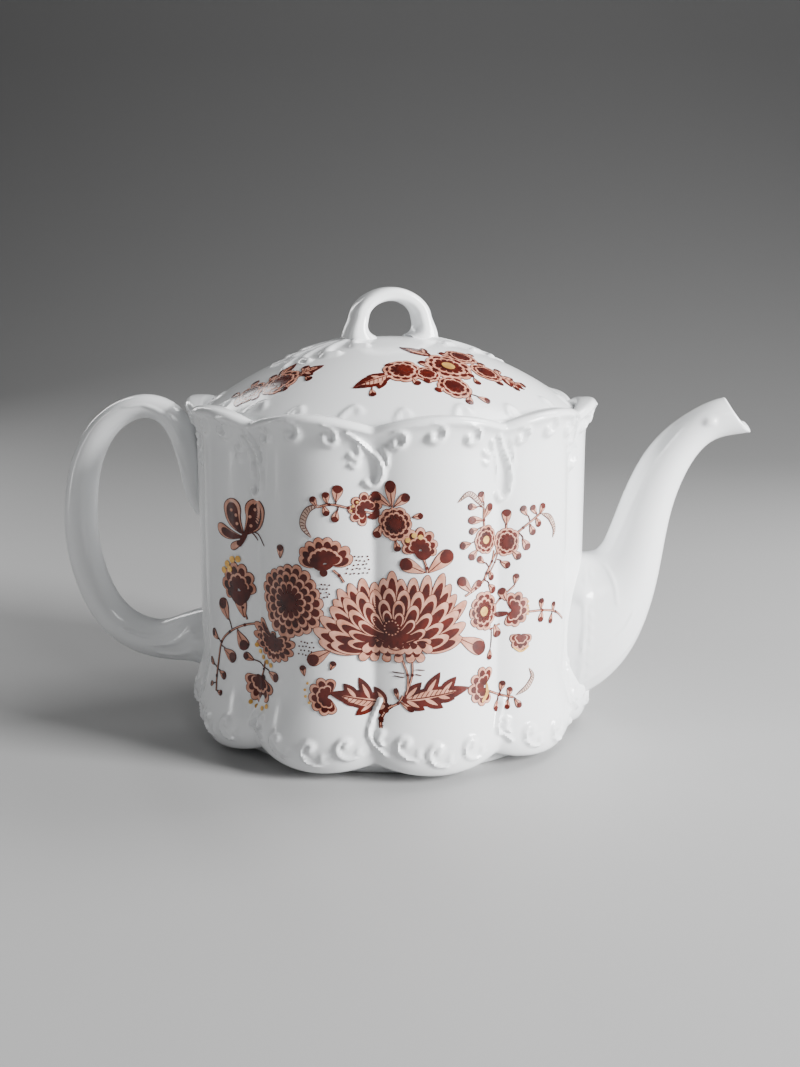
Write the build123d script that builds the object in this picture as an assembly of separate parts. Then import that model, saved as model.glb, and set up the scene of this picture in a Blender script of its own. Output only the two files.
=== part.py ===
"""A lobed porcelain teapot with a loose domed lid.

The pot is luted together from a lobed, scalloped body, a hollow spout and a loop handle.
The lid is luted together from a domed cover with a deep flange and a ring to lift it by.
Millimetres, +Z up, +X towards the spout, origin on the pot's axis at the foot ring's face.
"""

import os
from math import asin, atan2, ceil, cos, degrees, pi, radians, sin, sqrt

from build123d import *

# --- body -------------------------------------------------------------------------------
LOBE_COUNT = 10
LOBE_ANGLE = 360 / LOBE_COUNT
CREST_RADIUS = 70.0  # radius of the wall at the middle of a lobe
GROOVE_DEPTH = 3.6  # how far the grooves between lobes lie inside that radius
WALL = 4.0
RIM_CREST_Z = 120.0  # height of the rim at the middle of a lobe
RIM_NOTCH = 3.6  # how much lower the rim is at a groove
RIM_FLARE = 3.8  # how far the rim turns outwards
RIM_FLARE_HEIGHT = 14.0
SKIRT_Z = 2.0  # height of the lobes' lower edge at the middle of a lobe
SKIRT_NOTCH = 3.0  # how much higher that edge is at a groove
SKIRT_FLARE = 3.1  # how far the lobes swell near the base
SKIRT_FLARE_Z = 10.0  # height of the widest point of that swelling
SKIRT_FLARE_TOP = 30.0  # height at which the wall is upright again
SKIRT_UNDERCUT = 5.0  # how far the lower edge is rounded in from the widest point
FLOOR = 5.5  # thickness of the bottom
FOOT_RADIUS = 60.0
FOOT_WIDTH = 5.0
FOOT_HEIGHT = SKIRT_Z + 1.0

# --- gallery that the lid sits in --------------------------------------------------------
LID_RADIUS = 65.6
SEAT_DEPTH = 5.8  # from the highest points of the rim down to the ledge under the lid
SEAT_WIDTH = 8.6  # how far the lid's edge reaches over the ledge
LEDGE_THICKNESS = 4.0
LEDGE_SLOPE = 6.0  # height of the cone under the ledge
LID_GAP = 0.8  # radial clearance round the lid and round its flange
SEAT_Z = RIM_CREST_Z - SEAT_DEPTH
MOUTH_RADIUS = LID_RADIUS - SEAT_WIDTH

# --- lid ---------------------------------------------------------------------------------
LID_THICKNESS = 4.0
LID_EDGE = 2.9  # height of the lid's upright edge
DOME_RISE = 24.2  # from the edge's top to the top of the dome
CROWN_CURVE = 92.0  # radius of the dome's flatter crown
CROWN_RADIUS = 30.0  # distance from the axis at which the crown ends
FLANGE_DEPTH = 10.0  # how far the flange reaches below the seat
FLANGE_THICKNESS = 3.4
VENT_RADIUS = 1.25
VENT_OFFSET = 27.0  # distance of the steam vent from the axis
LID_TURN = 26.0  # how far the lid is turned in its seat, in degrees

# --- lifting ring -------------------------------------------------------------------------
RING_HOLE_WIDTH = 19.8
RING_HOLE_HEIGHT = 14.6
RING_CENTRE = 6.1  # height of the hole's centre over the dome's top
RING_CROWN = 3.9  # thickness of the ring above its hole
RING_SIDE = 5.0  # thickness of the ring beside its hole
RING_WIDTH = 10.4  # size of the ring along its hole
RING_FOOT = 2.4  # how far each foot spreads beyond the ring's side
RING_EDGE = 1.6  # rounding of the ring's edges

# --- spout --------------------------------------------------------------------------------
SPOUT_ROOT_Z = 36.5  # height of the middle of the spout's base
SPOUT_MOUTH_RISE = -6.0  # height of the mouth's middle over the rim
SPOUT_REACH = 52.6  # from the wall to the mouth's middle
SPOUT_WALL = 3.0
SPOUT_LIP_WALL = 1.7
# Along the spout: share of the reach, share of the rise, half height, half width, lean of
# the section's normal over the horizontal in degrees.
SPOUT_STATIONS = (
    (-0.17, 0.00, 27.5, 19.0, 0),
    (0.00, 0.00, 27.3, 18.6, 0),
    (0.19, 0.085, 21.8, 15.6, 15),
    (0.30, 0.22, 15.4, 12.4, 33),
    (0.38, 0.44, 10.6, 10.2, 58),
    (0.445, 0.62, 9.0, 8.9, 67),
    (0.57, 0.81, 8.0, 7.9, 58),
    (0.695, 0.91, 6.8, 7.0, 42),
    (0.845, 0.98, 6.4, 6.3, 25),
    (1.00, 1.00, 7.8, 5.8, 38),
)

# --- strainer holes in the wall behind the spout --------------------------------------------
STRAINER_HOLE_RADIUS = 2.0
STRAINER_PITCH = 7.0
STRAINER_ROWS = 5
STRAINER_ROW_STEP = 6.4

# --- handle ---------------------------------------------------------------------------------
HANDLE_FOOT_Z = 29.5  # height of the middle of the lower root
HANDLE_TOP_DROP = 3.6  # how far the handle's highest line lies under the rim's crest
HANDLE_REACH = 45.5  # from the wall to the handle's centre line at its furthest
# From the upper root round to the lower one: share of the reach, share of the height between
# the lower root and the handle's highest line, half thickness, half width.
HANDLE_STATIONS = (
    (0.02, 0.615, 1.4, 1.6),
    (0.04, 0.67, 3.4, 3.6),
    (0.06, 0.76, 4.8, 4.7),
    (0.12, 0.875, 5.2, 5.3),
    (0.235, 0.965, 4.7, 5.5),
    (0.40, 1.00, 4.2, 5.6),
    (0.60, 0.975, 4.4, 5.8),
    (0.79, 0.895, 4.9, 6.1),
    (0.935, 0.75, 5.5, 6.5),
    (0.995, 0.58, 6.0, 6.9),
    (1.00, 0.44, 6.1, 7.0),
    (0.95, 0.29, 6.1, 7.0),
    (0.85, 0.15, 6.2, 7.0),
    (0.70, 0.05, 6.5, 7.1),
    (0.50, -0.005, 6.9, 7.4),
    (0.30, -0.02, 7.6, 8.2),
    (0.10, 0.00, 9.6, 10.0),
    (-0.10, 0.00, 12.4, 12.4),
)

SCALLOP_REACH = 30.0  # how far a cutting tool runs past the wall
OVAL_POINTS = 12  # points through which an oval section is drawn
SECTION_STEP = 16.0  # greatest height between sections of the upright wall
STEP = 1.0  # small height by which one tool overlaps the next


def polar(radius: float, angle: float, z: float = 0.0) -> Vector:
    """Point at a radius and an angle in degrees round the pot's axis."""
    return Vector(radius * cos(radians(angle)), radius * sin(radians(angle)), z)


def lobed_face(z: float, crest: float, groove_depth: float) -> Face:
    """Horizontal section of the body, one arc for each lobe, with a lobe at angle 0."""
    groove = crest - groove_depth
    arcs = []
    for i in range(LOBE_COUNT):
        middle = i * LOBE_ANGLE
        arcs.append(
            ThreePointArc(
                polar(groove, middle - LOBE_ANGLE / 2, z),
                polar(crest, middle, z),
                polar(groove, middle + LOBE_ANGLE / 2, z),
            )
        )
    return Face(Wire(arcs))


def outer_radius(z: float) -> float:
    """Radius of a lobe's crest at height z."""
    radius = CREST_RADIUS
    if z < SKIRT_FLARE_Z:
        share = (SKIRT_FLARE_Z - z) / (SKIRT_FLARE_Z - SKIRT_Z)
        radius += SKIRT_FLARE - SKIRT_UNDERCUT * (1 - sqrt(max(0.0, 1 - share**2)))
    elif z < SKIRT_FLARE_TOP:
        share = (z - SKIRT_FLARE_Z) / (SKIRT_FLARE_TOP - SKIRT_FLARE_Z)
        radius += SKIRT_FLARE * (1 + cos(pi * share)) / 2
    flare_start = RIM_CREST_Z - RIM_FLARE_HEIGHT
    if z > flare_start:
        radius += RIM_FLARE * ((z - flare_start) / RIM_FLARE_HEIGHT) ** 2
    return radius


def section_heights(low: float, high: float) -> list[float]:
    """Heights of the sections that a length of the wall is drawn through."""
    flare_start = RIM_CREST_Z - RIM_FLARE_HEIGHT
    skirt = SKIRT_FLARE_Z - SKIRT_Z
    swell = SKIRT_FLARE_TOP - SKIRT_FLARE_Z
    marks = [SKIRT_Z + skirt * share for share in (0, 0.15, 0.45, 1)]
    marks += [SKIRT_FLARE_Z + swell * share for share in (0.33, 0.67, 1)]
    steps = ceil((flare_start - SKIRT_FLARE_TOP) / SECTION_STEP)
    upright = (flare_start - SKIRT_FLARE_TOP) / steps
    marks += [SKIRT_FLARE_TOP + upright * i for i in range(1, steps + 1)]
    marks += [flare_start + RIM_FLARE_HEIGHT * share for share in (0.4, 0.75)]
    return [low, *(z for z in marks if low + STEP < z < high - STEP), high]


def body_envelope(inset: float, low: float, high: float) -> Part:
    """The body's lobed outside, moved inwards by inset, from one height to another."""
    heights = section_heights(low, high)
    return loft([lobed_face(z, outer_radius(z) - inset, GROOVE_DEPTH) for z in heights])


def scallop_tool(crest_z: float, notch: float, inner: float, upwards: bool) -> Part:
    """What lies beyond a scalloped edge: a ring less one arched block for each lobe.

    The arch of each block passes through the edge's crest height at the middle of a lobe and
    is moved by the notch at the groove.
    """
    sign = 1 if upwards else -1
    outer = CREST_RADIUS + SCALLOP_REACH
    chord = CREST_RADIUS * sin(radians(LOBE_ANGLE / 2))
    arch_radius = (chord**2 + notch**2) / (2 * notch)
    depth = notch + 2 * STEP
    ring = Pos(0, 0, crest_z - sign * (depth / 2 - STEP / 2)) * (
        Cylinder(outer, depth + STEP) - Cylinder(inner, depth + STEP)
    )
    centre_z = crest_z - sign * arch_radius
    width = 1.3 * chord
    for i in range(LOBE_COUNT):
        barrel = Pos(outer / 2, 0, centre_z) * Rot(0, 90, 0) * Cylinder(arch_radius, outer)
        block = Pos(outer / 2, 0, crest_z - sign * depth) * Box(outer, 2 * width, 2 * depth)
        ring -= Rot(0, 0, i * LOBE_ANGLE) * (barrel & block)
    return ring


def strainer_holes() -> Part:
    """Round holes through the wall behind the spout, in staggered rows."""
    holes = []
    for row in range(STRAINER_ROWS):
        z = SPOUT_ROOT_Z + (row - (STRAINER_ROWS - 1) / 2) * STRAINER_ROW_STEP
        across = (-1, 0, 1) if row % 2 == 0 else (-0.5, 0.5)
        for share in across:
            place = Pos(CREST_RADIUS, share * STRAINER_PITCH, z) * Rot(0, 90, 0)
            holes.append(place * Cylinder(STRAINER_HOLE_RADIUS, 6 * WALL))
    return Part() + holes


def pot_body() -> Part:
    """The lobed wall with its floor, foot ring, lid gallery and strainer holes."""
    body = body_envelope(0.0, SKIRT_Z, RIM_CREST_Z)
    foot = Cylinder(FOOT_RADIUS, FOOT_HEIGHT) - Cylinder(FOOT_RADIUS - FOOT_WIDTH, FOOT_HEIGHT)
    body += Pos(0, 0, FOOT_HEIGHT / 2) * foot
    ledge_low = SEAT_Z - LEDGE_THICKNESS
    cone_low = ledge_low - LEDGE_SLOPE
    body -= body_envelope(WALL, SKIRT_Z + FLOOR, cone_low)
    wall_inside = CREST_RADIUS - GROOVE_DEPTH - WALL
    body -= Pos(0, 0, cone_low + LEDGE_SLOPE / 2) * Cone(wall_inside, MOUTH_RADIUS, LEDGE_SLOPE)
    body -= Pos(0, 0, SEAT_Z) * Cylinder(MOUTH_RADIUS, 2 * LEDGE_THICKNESS + STEP)
    recess = RIM_CREST_Z + STEP - SEAT_Z
    body -= Pos(0, 0, SEAT_Z + recess / 2) * Cylinder(LID_RADIUS + LID_GAP, recess)
    body -= scallop_tool(RIM_CREST_Z, RIM_NOTCH, LID_RADIUS, upwards=True)
    body -= scallop_tool(SKIRT_Z, SKIRT_NOTCH, FOOT_RADIUS, upwards=False)
    return body - strainer_holes()


def oval_face(place: Plane, half_width: float, half_height: float) -> Face:
    """Oval section on a plane whose x direction runs across the pot."""
    turns = [2 * pi * i / OVAL_POINTS for i in range(OVAL_POINTS)]
    points = [(half_width * cos(turn), half_height * sin(turn)) for turn in turns]
    return place * make_face(Spline(*points, periodic=True))


def tube(stations: list, inset: list) -> Part:
    """Tube of oval sections swept along the pot's upright middle plane.

    Each station is its centre's x and z, the lean of its normal over the horizontal in degrees,
    its half height and its half width. Each value in inset is taken off both halves.
    """
    path = Spline(*[(x, 0, z) for x, z, *_ in stations])
    sections = []
    for (x, z, lean, height, width), less in zip(stations, inset):
        normal = (cos(radians(lean)), 0, sin(radians(lean)))
        plane = Plane(origin=(x, 0, z), x_dir=(0, 1, 0), z_dir=normal)
        sections.append(oval_face(plane, width - less, height - less))
    return sweep(sections, path=path, multisection=True)


def spout() -> Part:
    """The hollow spout, cut to fit against the body's wall."""
    mouth_z = RIM_CREST_Z + SPOUT_MOUTH_RISE
    stations = [
        (CREST_RADIUS + out * SPOUT_REACH, SPOUT_ROOT_Z + up * (mouth_z - SPOUT_ROOT_Z), lean, h, w)
        for out, up, h, w, lean in SPOUT_STATIONS
    ]
    last = len(stations) - 1
    bore = [SPOUT_WALL + (SPOUT_LIP_WALL - SPOUT_WALL) * i / last for i in range(last + 1)]
    return tube(stations, [0.0] * (last + 1)) - tube(stations, bore) - body_solid()


def body_solid() -> Part:
    """The body's outside filled in, for cutting what is luted on to it."""
    return body_envelope(0.0, SKIRT_Z, RIM_CREST_Z)


def handle() -> Part:
    """The loop handle, cut to fit against the body's wall at both roots."""
    top_z = RIM_CREST_Z - HANDLE_TOP_DROP
    rise = top_z - HANDLE_FOOT_Z
    points = [
        (-CREST_RADIUS - out * HANDLE_REACH, HANDLE_FOOT_Z + up * rise)
        for out, up, _, _ in HANDLE_STATIONS
    ]
    path = Spline(*[(x, 0, z) for x, z in points])
    stations = []
    for (x, z), (_, _, thickness, width) in zip(points, HANDLE_STATIONS):
        tangent = path.tangent_at(path.param_at_point((x, 0, z)))
        stations.append((x, z, degrees(atan2(tangent.Z, tangent.X)), thickness, width))
    return tube(stations, [0.0] * len(stations)) - body_solid()


def dome_profile(depth: float) -> Curve:
    """Line of the lid's dome from its top to its edge, at a depth under its outside."""
    edge_z = SEAT_Z + LID_EDGE
    centre_z = edge_z + DOME_RISE - CROWN_CURVE
    half_angle = degrees(asin(CROWN_RADIUS / CROWN_CURVE))
    crown = CenterArc((0, centre_z), CROWN_CURVE - depth, 90, -half_angle)
    skirt = TangentArc(crown @ 1, (LID_RADIUS, edge_z - depth), tangent=crown % 1)
    return Curve() + [crown, skirt]


def dome_solid() -> Part:
    """The lid's dome filled in down to its seat."""
    line = dome_profile(0.0)
    top = line.edges()[0] @ 0
    edge = Polyline((LID_RADIUS, SEAT_Z + LID_EDGE), (LID_RADIUS, SEAT_Z), (0, SEAT_Z), top)
    face = Plane.XZ * make_face([*line.edges(), *edge.edges()])
    return revolve(face, Axis.Z)


def lid_cover() -> Part:
    """The domed cover with its flange and steam vent."""
    flange_outer = MOUTH_RADIUS - LID_GAP
    flange_inner = flange_outer - FLANGE_THICKNESS
    line = dome_profile(LID_THICKNESS)
    top = line.edges()[0] @ 0
    edge_z = SEAT_Z + LID_EDGE - LID_THICKNESS
    floor_z = SEAT_Z - FLANGE_DEPTH - STEP
    edge = Polyline((LID_RADIUS, edge_z), (LID_RADIUS, floor_z), (0, floor_z), top)
    hollow = revolve(Plane.XZ * make_face([*line.edges(), *edge.edges()]), Axis.Z)
    bore_height = DOME_RISE + FLANGE_DEPTH + LID_EDGE + STEP
    bore = Pos(0, 0, floor_z + bore_height / 2) * Cylinder(flange_inner, bore_height)
    flange = Pos(0, 0, SEAT_Z - FLANGE_DEPTH / 2) * Cylinder(flange_outer, FLANGE_DEPTH)
    cover = dome_solid() + flange - (hollow & bore)
    vent_axis = polar(VENT_OFFSET, LID_TURN + 90)
    vent = Pos(vent_axis.X, vent_axis.Y, SEAT_Z + DOME_RISE) * Cylinder(VENT_RADIUS, 2 * DOME_RISE)
    return cover - vent


def lid_ring() -> Part:
    """The oval ring on top of the lid, with spread feet cut to fit the dome."""
    dome_top = SEAT_Z + LID_EDGE + DOME_RISE
    centre_z = dome_top + RING_CENTRE
    half_width = RING_HOLE_WIDTH / 2 + RING_SIDE
    half_height = RING_HOLE_HEIGHT / 2 + RING_CROWN
    foot_z = dome_top - RING_SIDE
    foot = half_width + RING_FOOT
    arch = EllipticalCenterArc((0, centre_z), half_width, half_height, arc_size=180)
    legs = Polyline((-half_width, centre_z), (-foot, foot_z), (foot, foot_z), (half_width, centre_z))
    outline = make_face([arch, *legs.edges()])
    outline -= Pos(0, centre_z) * Ellipse(RING_HOLE_WIDTH / 2, RING_HOLE_HEIGHT / 2)
    ring = extrude(Plane.XZ * outline, RING_WIDTH / 2, both=True)
    sides = ring.edges().filter_by(Axis.Y, reverse=True)
    sides = sides.filter_by(lambda e: e.center().Z > foot_z + STEP)
    ring = fillet(sides, RING_EDGE)
    return Rot(0, 0, LID_TURN) * (ring - dome_solid())


def main() -> None:
    """Write each piece to its own STEP file."""
    os.makedirs("parts", exist_ok=True)
    makers = (pot_body, spout, handle, lid_cover, lid_ring)
    for maker in makers:
        export_step(maker(), f"parts/{maker.__name__}.step")


main()
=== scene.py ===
"""A white glazed teapot with a lobed body, lifting ring, spout, loop handle and painted flowers.

Lengths in the classes are millimetres. The wall is described by s, the way round it from the
groove that faces the front, and by the height z over the foot.
"""

from __future__ import annotations

import logging
import math
from dataclasses import dataclass, field
from enum import Enum
from typing import Callable, Sequence

import bpy
import numpy as np
from mathutils import Matrix, Vector


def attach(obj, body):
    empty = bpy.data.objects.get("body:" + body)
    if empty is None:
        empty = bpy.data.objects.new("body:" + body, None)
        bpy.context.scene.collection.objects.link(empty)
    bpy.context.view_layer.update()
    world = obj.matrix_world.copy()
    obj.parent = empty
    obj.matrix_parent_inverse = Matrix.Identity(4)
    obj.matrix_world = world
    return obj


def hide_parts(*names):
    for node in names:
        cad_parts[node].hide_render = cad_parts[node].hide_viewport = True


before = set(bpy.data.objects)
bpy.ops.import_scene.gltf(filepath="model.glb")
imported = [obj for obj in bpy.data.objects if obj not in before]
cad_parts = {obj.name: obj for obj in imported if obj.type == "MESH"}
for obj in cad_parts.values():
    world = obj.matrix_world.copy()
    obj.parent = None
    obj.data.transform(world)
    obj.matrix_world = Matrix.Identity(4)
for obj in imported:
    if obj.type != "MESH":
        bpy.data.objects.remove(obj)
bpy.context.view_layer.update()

LOG = logging.getLogger("teapot")
MM = 0.001

Array = np.ndarray
Surface = Callable[[Array, Array], Array]
Path = Sequence[tuple[float, ...]]


class Part(Enum):
    """Nodes of the mechanical model."""

    BODY = "pot_body"
    SPOUT = "spout"
    HANDLE = "handle"
    COVER = "lid_cover"
    RING = "lid_ring"


class Mover(Enum):
    """Bodies that a piece can ride on."""

    POT = "pot"
    LID = "lid"


class Paint(Enum):
    """Colours of the painting, in the order of a spray's material slots."""

    MAROON = 0
    SALMON = 1
    GOLD = 2
    PALE = 3


def smooth_curve(points: Array, samples: Array) -> Array:
    """Run a smooth curve through rows of values.

    Args:
        points: One row for each knot, any number of columns.
        samples: Places along the curve, from 0 to 1.

    Returns:
        One row for each sample.
    """
    points = np.asarray(points, float)
    steps = np.linalg.norm(np.diff(points[:, :2], axis=0), axis=1) ** 0.75
    knots = np.concatenate([[0.0], np.cumsum(np.maximum(steps, 1e-6))])
    slopes = np.gradient(points, knots, axis=0)
    at = np.clip(samples, 0, 1) * knots[-1]
    index = np.clip(np.searchsorted(knots, at, side="right") - 1, 0, len(knots) - 2)
    span = (knots[index + 1] - knots[index])[:, None]
    t = ((at - knots[index]) / span[:, 0])[:, None]
    first = (2 * t**3 - 3 * t**2 + 1) * points[index] + (t**3 - 2 * t**2 + t) * span * slopes[index]
    last = (3 * t**2 - 2 * t**3) * points[index + 1] + (t**3 - t**2) * span * slopes[index + 1]
    return first + last


def relax(rows: Array, rounds: int) -> Array:
    """Even out a line of rows and keep its ends.

    Args:
        rows: One row for each step along the line.
        rounds: How often each row is drawn towards its neighbours.

    Returns:
        The evened rows.
    """
    rows = rows.copy()
    for _ in range(rounds):
        rows[1:-1] = 0.25 * rows[:-2] + 0.5 * rows[1:-1] + 0.25 * rows[2:]
    return rows


def ease(values: Array, low: float, high: float) -> Array:
    """Rise smoothly from 0 at low to 1 at high."""
    t = np.clip((np.asarray(values, float) - low) / (high - low), 0, 1)
    return t * t * (3 - 2 * t)


@dataclass(frozen=True)
class Stroke:
    """A raised line modelled on a surface.

    Args:
        points: The line's knots in the surface's flat coordinates.
        head: Half width at the first knot.
        tail: Half width at the last knot.
        height: How far the line stands proud.
    """

    points: Path
    head: float = 1.2
    tail: float = 0.5
    height: float = 1.0

    def rise(self, x: Array, y: Array) -> Array:
        """Give the line's height over flat points."""
        out = np.zeros(len(x))
        line = smooth_curve(np.array(self.points), np.linspace(0, 1, 8 * len(self.points)))
        reach = 1.6 * max(self.head, self.tail)
        low, high = line.min(axis=0) - reach, line.max(axis=0) + reach
        near = np.nonzero((x > low[0]) & (x < high[0]) & (y > low[1]) & (y < high[1]))[0]
        if len(near) == 0:
            return out
        half = np.linspace(self.head, self.tail, len(line))
        gap = np.hypot(x[near, None] - line[:, 0], y[near, None] - line[:, 1]) / half
        out[near] = self.height * np.exp(-1.1 * gap.min(axis=1) ** 2.6)
        return out


@dataclass(frozen=True)
class Relief:
    """Raised lines that share a surface."""

    strokes: tuple[Stroke, ...]

    def rise(self, x: Array, y: Array) -> Array:
        """Give the height of the highest line over flat points."""
        out = np.zeros(len(x))
        for stroke in self.strokes:
            out = np.maximum(out, stroke.rise(x, y))
        return out


class Modeller:
    """Operations shared by the sub-assemblies."""

    @staticmethod
    def pick(piece: bpy.types.Object) -> None:
        """Select one piece and make it active."""
        bpy.ops.object.select_all(action="DESELECT")
        piece.select_set(True)
        bpy.context.view_layer.objects.active = piece

    @staticmethod
    def place(piece: bpy.types.Object, points: Array) -> None:
        """Move a piece's vertices to points in millimetres."""
        piece.data.vertices.foreach_set("co", (np.asarray(points) * MM).ravel())
        piece.data.update()

    @staticmethod
    def points(piece: bpy.types.Object) -> Array:
        """Read a piece's vertices."""
        flat = np.empty(3 * len(piece.data.vertices))
        piece.data.vertices.foreach_get("co", flat)
        return flat.reshape(-1, 3)

    @classmethod
    def close(cls, piece: bpy.types.Object, crease: float = 60.0) -> None:
        """Weld a piece's seams, turn its faces outward and shade it smooth.

        Args:
            piece: The piece to finish.
            crease: Angle in degrees over which an edge stays sharp.
        """
        cls.pick(piece)
        bpy.ops.object.mode_set(mode="EDIT")
        bpy.ops.mesh.select_all(action="SELECT")
        bpy.ops.mesh.remove_doubles(threshold=2e-6)
        bpy.ops.mesh.normals_make_consistent(inside=False)
        bpy.ops.object.mode_set(mode="OBJECT")
        bpy.ops.object.shade_smooth_by_angle(angle=math.radians(crease))

    @classmethod
    def warp(cls, name: str, columns: int, rows: int, surface: Surface) -> bpy.types.Object:
        """Add a grid, move it on to a surface and close it.

        Args:
            name: Name of the piece.
            columns: Faces round the piece.
            rows: Faces along the piece.
            surface: Gives points in millimetres for shares u and v of the grid.

        Returns:
            The piece.
        """
        bpy.ops.object.select_all(action="DESELECT")
        bpy.ops.mesh.primitive_grid_add(x_subdivisions=columns, y_subdivisions=rows, size=2)
        piece = bpy.context.object
        piece.name = piece.data.name = name
        flat = cls.points(piece)
        cls.place(piece, surface((flat[:, 0] + 1) / 2, (flat[:, 1] + 1) / 2))
        cls.close(piece)
        return piece

    @classmethod
    def cut(cls, piece: bpy.types.Object, tools: list[bpy.types.Object]) -> None:
        """Take cylinders out of a piece.

        Args:
            piece: The piece that is cut.
            tools: The cylinders, which are removed afterwards.
        """
        bpy.ops.object.select_all(action="DESELECT")
        for tool in tools:
            tool.select_set(True)
        bpy.context.view_layer.objects.active = tools[0]
        if len(tools) > 1:
            bpy.ops.object.join()
        tool = bpy.context.object
        cls.pick(piece)
        cutter = piece.modifiers.new("holes", "BOOLEAN")
        cutter.operation = "DIFFERENCE"
        cutter.solver = "EXACT"
        cutter.object = tool
        bpy.ops.object.modifier_apply(modifier=cutter.name)
        bpy.data.objects.remove(tool)
        cls.close(piece)

    @staticmethod
    def rod(centre: Sequence[float], radius: float, length: float, along_x: bool) -> bpy.types.Object:
        """Add a cylinder that lies along x or stands upright, sizes in millimetres."""
        bpy.ops.mesh.primitive_cylinder_add(
            vertices=24,
            radius=radius * MM,
            depth=length * MM,
            location=[c * MM for c in centre],
            rotation=(0, math.pi / 2 if along_x else 0, 0),
        )
        return bpy.context.object


@dataclass(frozen=True)
class Glaze:
    """Cool white glossy glaze over fired clay."""

    colour: tuple[float, float, float] = (0.85, 0.85, 0.88)
    shade: tuple[float, float, float] = (0.77, 0.77, 0.81)
    roughness: float = 0.11

    def build(self, name: str = "glaze") -> bpy.types.Material:
        """Make the material."""
        material = bpy.data.materials.new(name)
        material.use_nodes = True
        nodes, links = material.node_tree.nodes, material.node_tree.links
        shader = nodes["Principled BSDF"]
        place = nodes.new("ShaderNodeTexCoord")
        cloud = nodes.new("ShaderNodeTexNoise")
        cloud.inputs["Scale"].default_value = 28.0
        cloud.inputs["Detail"].default_value = 3.0
        mix = nodes.new("ShaderNodeMix")
        mix.data_type = "RGBA"
        mix.inputs[6].default_value = (*self.shade, 1)
        mix.inputs[7].default_value = (*self.colour, 1)
        spread = nodes.new("ShaderNodeMapRange")
        spread.inputs["From Min"].default_value = 0.1
        spread.inputs["From Max"].default_value = 0.55
        ripple = nodes.new("ShaderNodeTexNoise")
        ripple.inputs["Scale"].default_value = 90.0
        ripple.inputs["Detail"].default_value = 1.0
        bump = nodes.new("ShaderNodeBump")
        bump.inputs["Strength"].default_value = 0.035
        bump.inputs["Distance"].default_value = 0.0006
        links.new(place.outputs["Object"], cloud.inputs["Vector"])
        links.new(place.outputs["Object"], ripple.inputs["Vector"])
        links.new(cloud.outputs["Fac"], spread.inputs["Value"])
        links.new(spread.outputs["Result"], mix.inputs[0])
        links.new(mix.outputs[2], shader.inputs["Base Color"])
        links.new(ripple.outputs["Fac"], bump.inputs["Height"])
        links.new(bump.outputs["Normal"], shader.inputs["Normal"])
        shader.inputs["Roughness"].default_value = self.roughness
        shader.inputs["IOR"].default_value = 1.52
        shader.inputs["Coat Weight"].default_value = 0.25
        shader.inputs["Coat Roughness"].default_value = 0.05
        return material


@dataclass(frozen=True)
class Enamel:
    """Painted colour over the glaze, thicker in some strokes than in others."""

    name: str
    light: tuple[float, float, float]
    dark: tuple[float, float, float]
    roughness: float = 0.22
    metallic: float = 0.0
    scale: float = 260.0

    def build(self) -> bpy.types.Material:
        """Make the material."""
        material = bpy.data.materials.new(self.name)
        material.use_nodes = True
        nodes, links = material.node_tree.nodes, material.node_tree.links
        shader = nodes["Principled BSDF"]
        place = nodes.new("ShaderNodeTexCoord")
        wash = nodes.new("ShaderNodeTexNoise")
        wash.inputs["Scale"].default_value = self.scale
        wash.inputs["Detail"].default_value = 3.0
        ramp = nodes.new("ShaderNodeValToRGB")
        ramp.color_ramp.elements[0].position = 0.32
        ramp.color_ramp.elements[0].color = (*self.dark, 1)
        ramp.color_ramp.elements[1].position = 0.66
        ramp.color_ramp.elements[1].color = (*self.light, 1)
        links.new(place.outputs["Object"], wash.inputs["Vector"])
        links.new(wash.outputs["Fac"], ramp.inputs["Fac"])
        links.new(ramp.outputs["Color"], shader.inputs["Base Color"])
        shader.inputs["Roughness"].default_value = self.roughness
        shader.inputs["Metallic"].default_value = self.metallic
        return material


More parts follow.
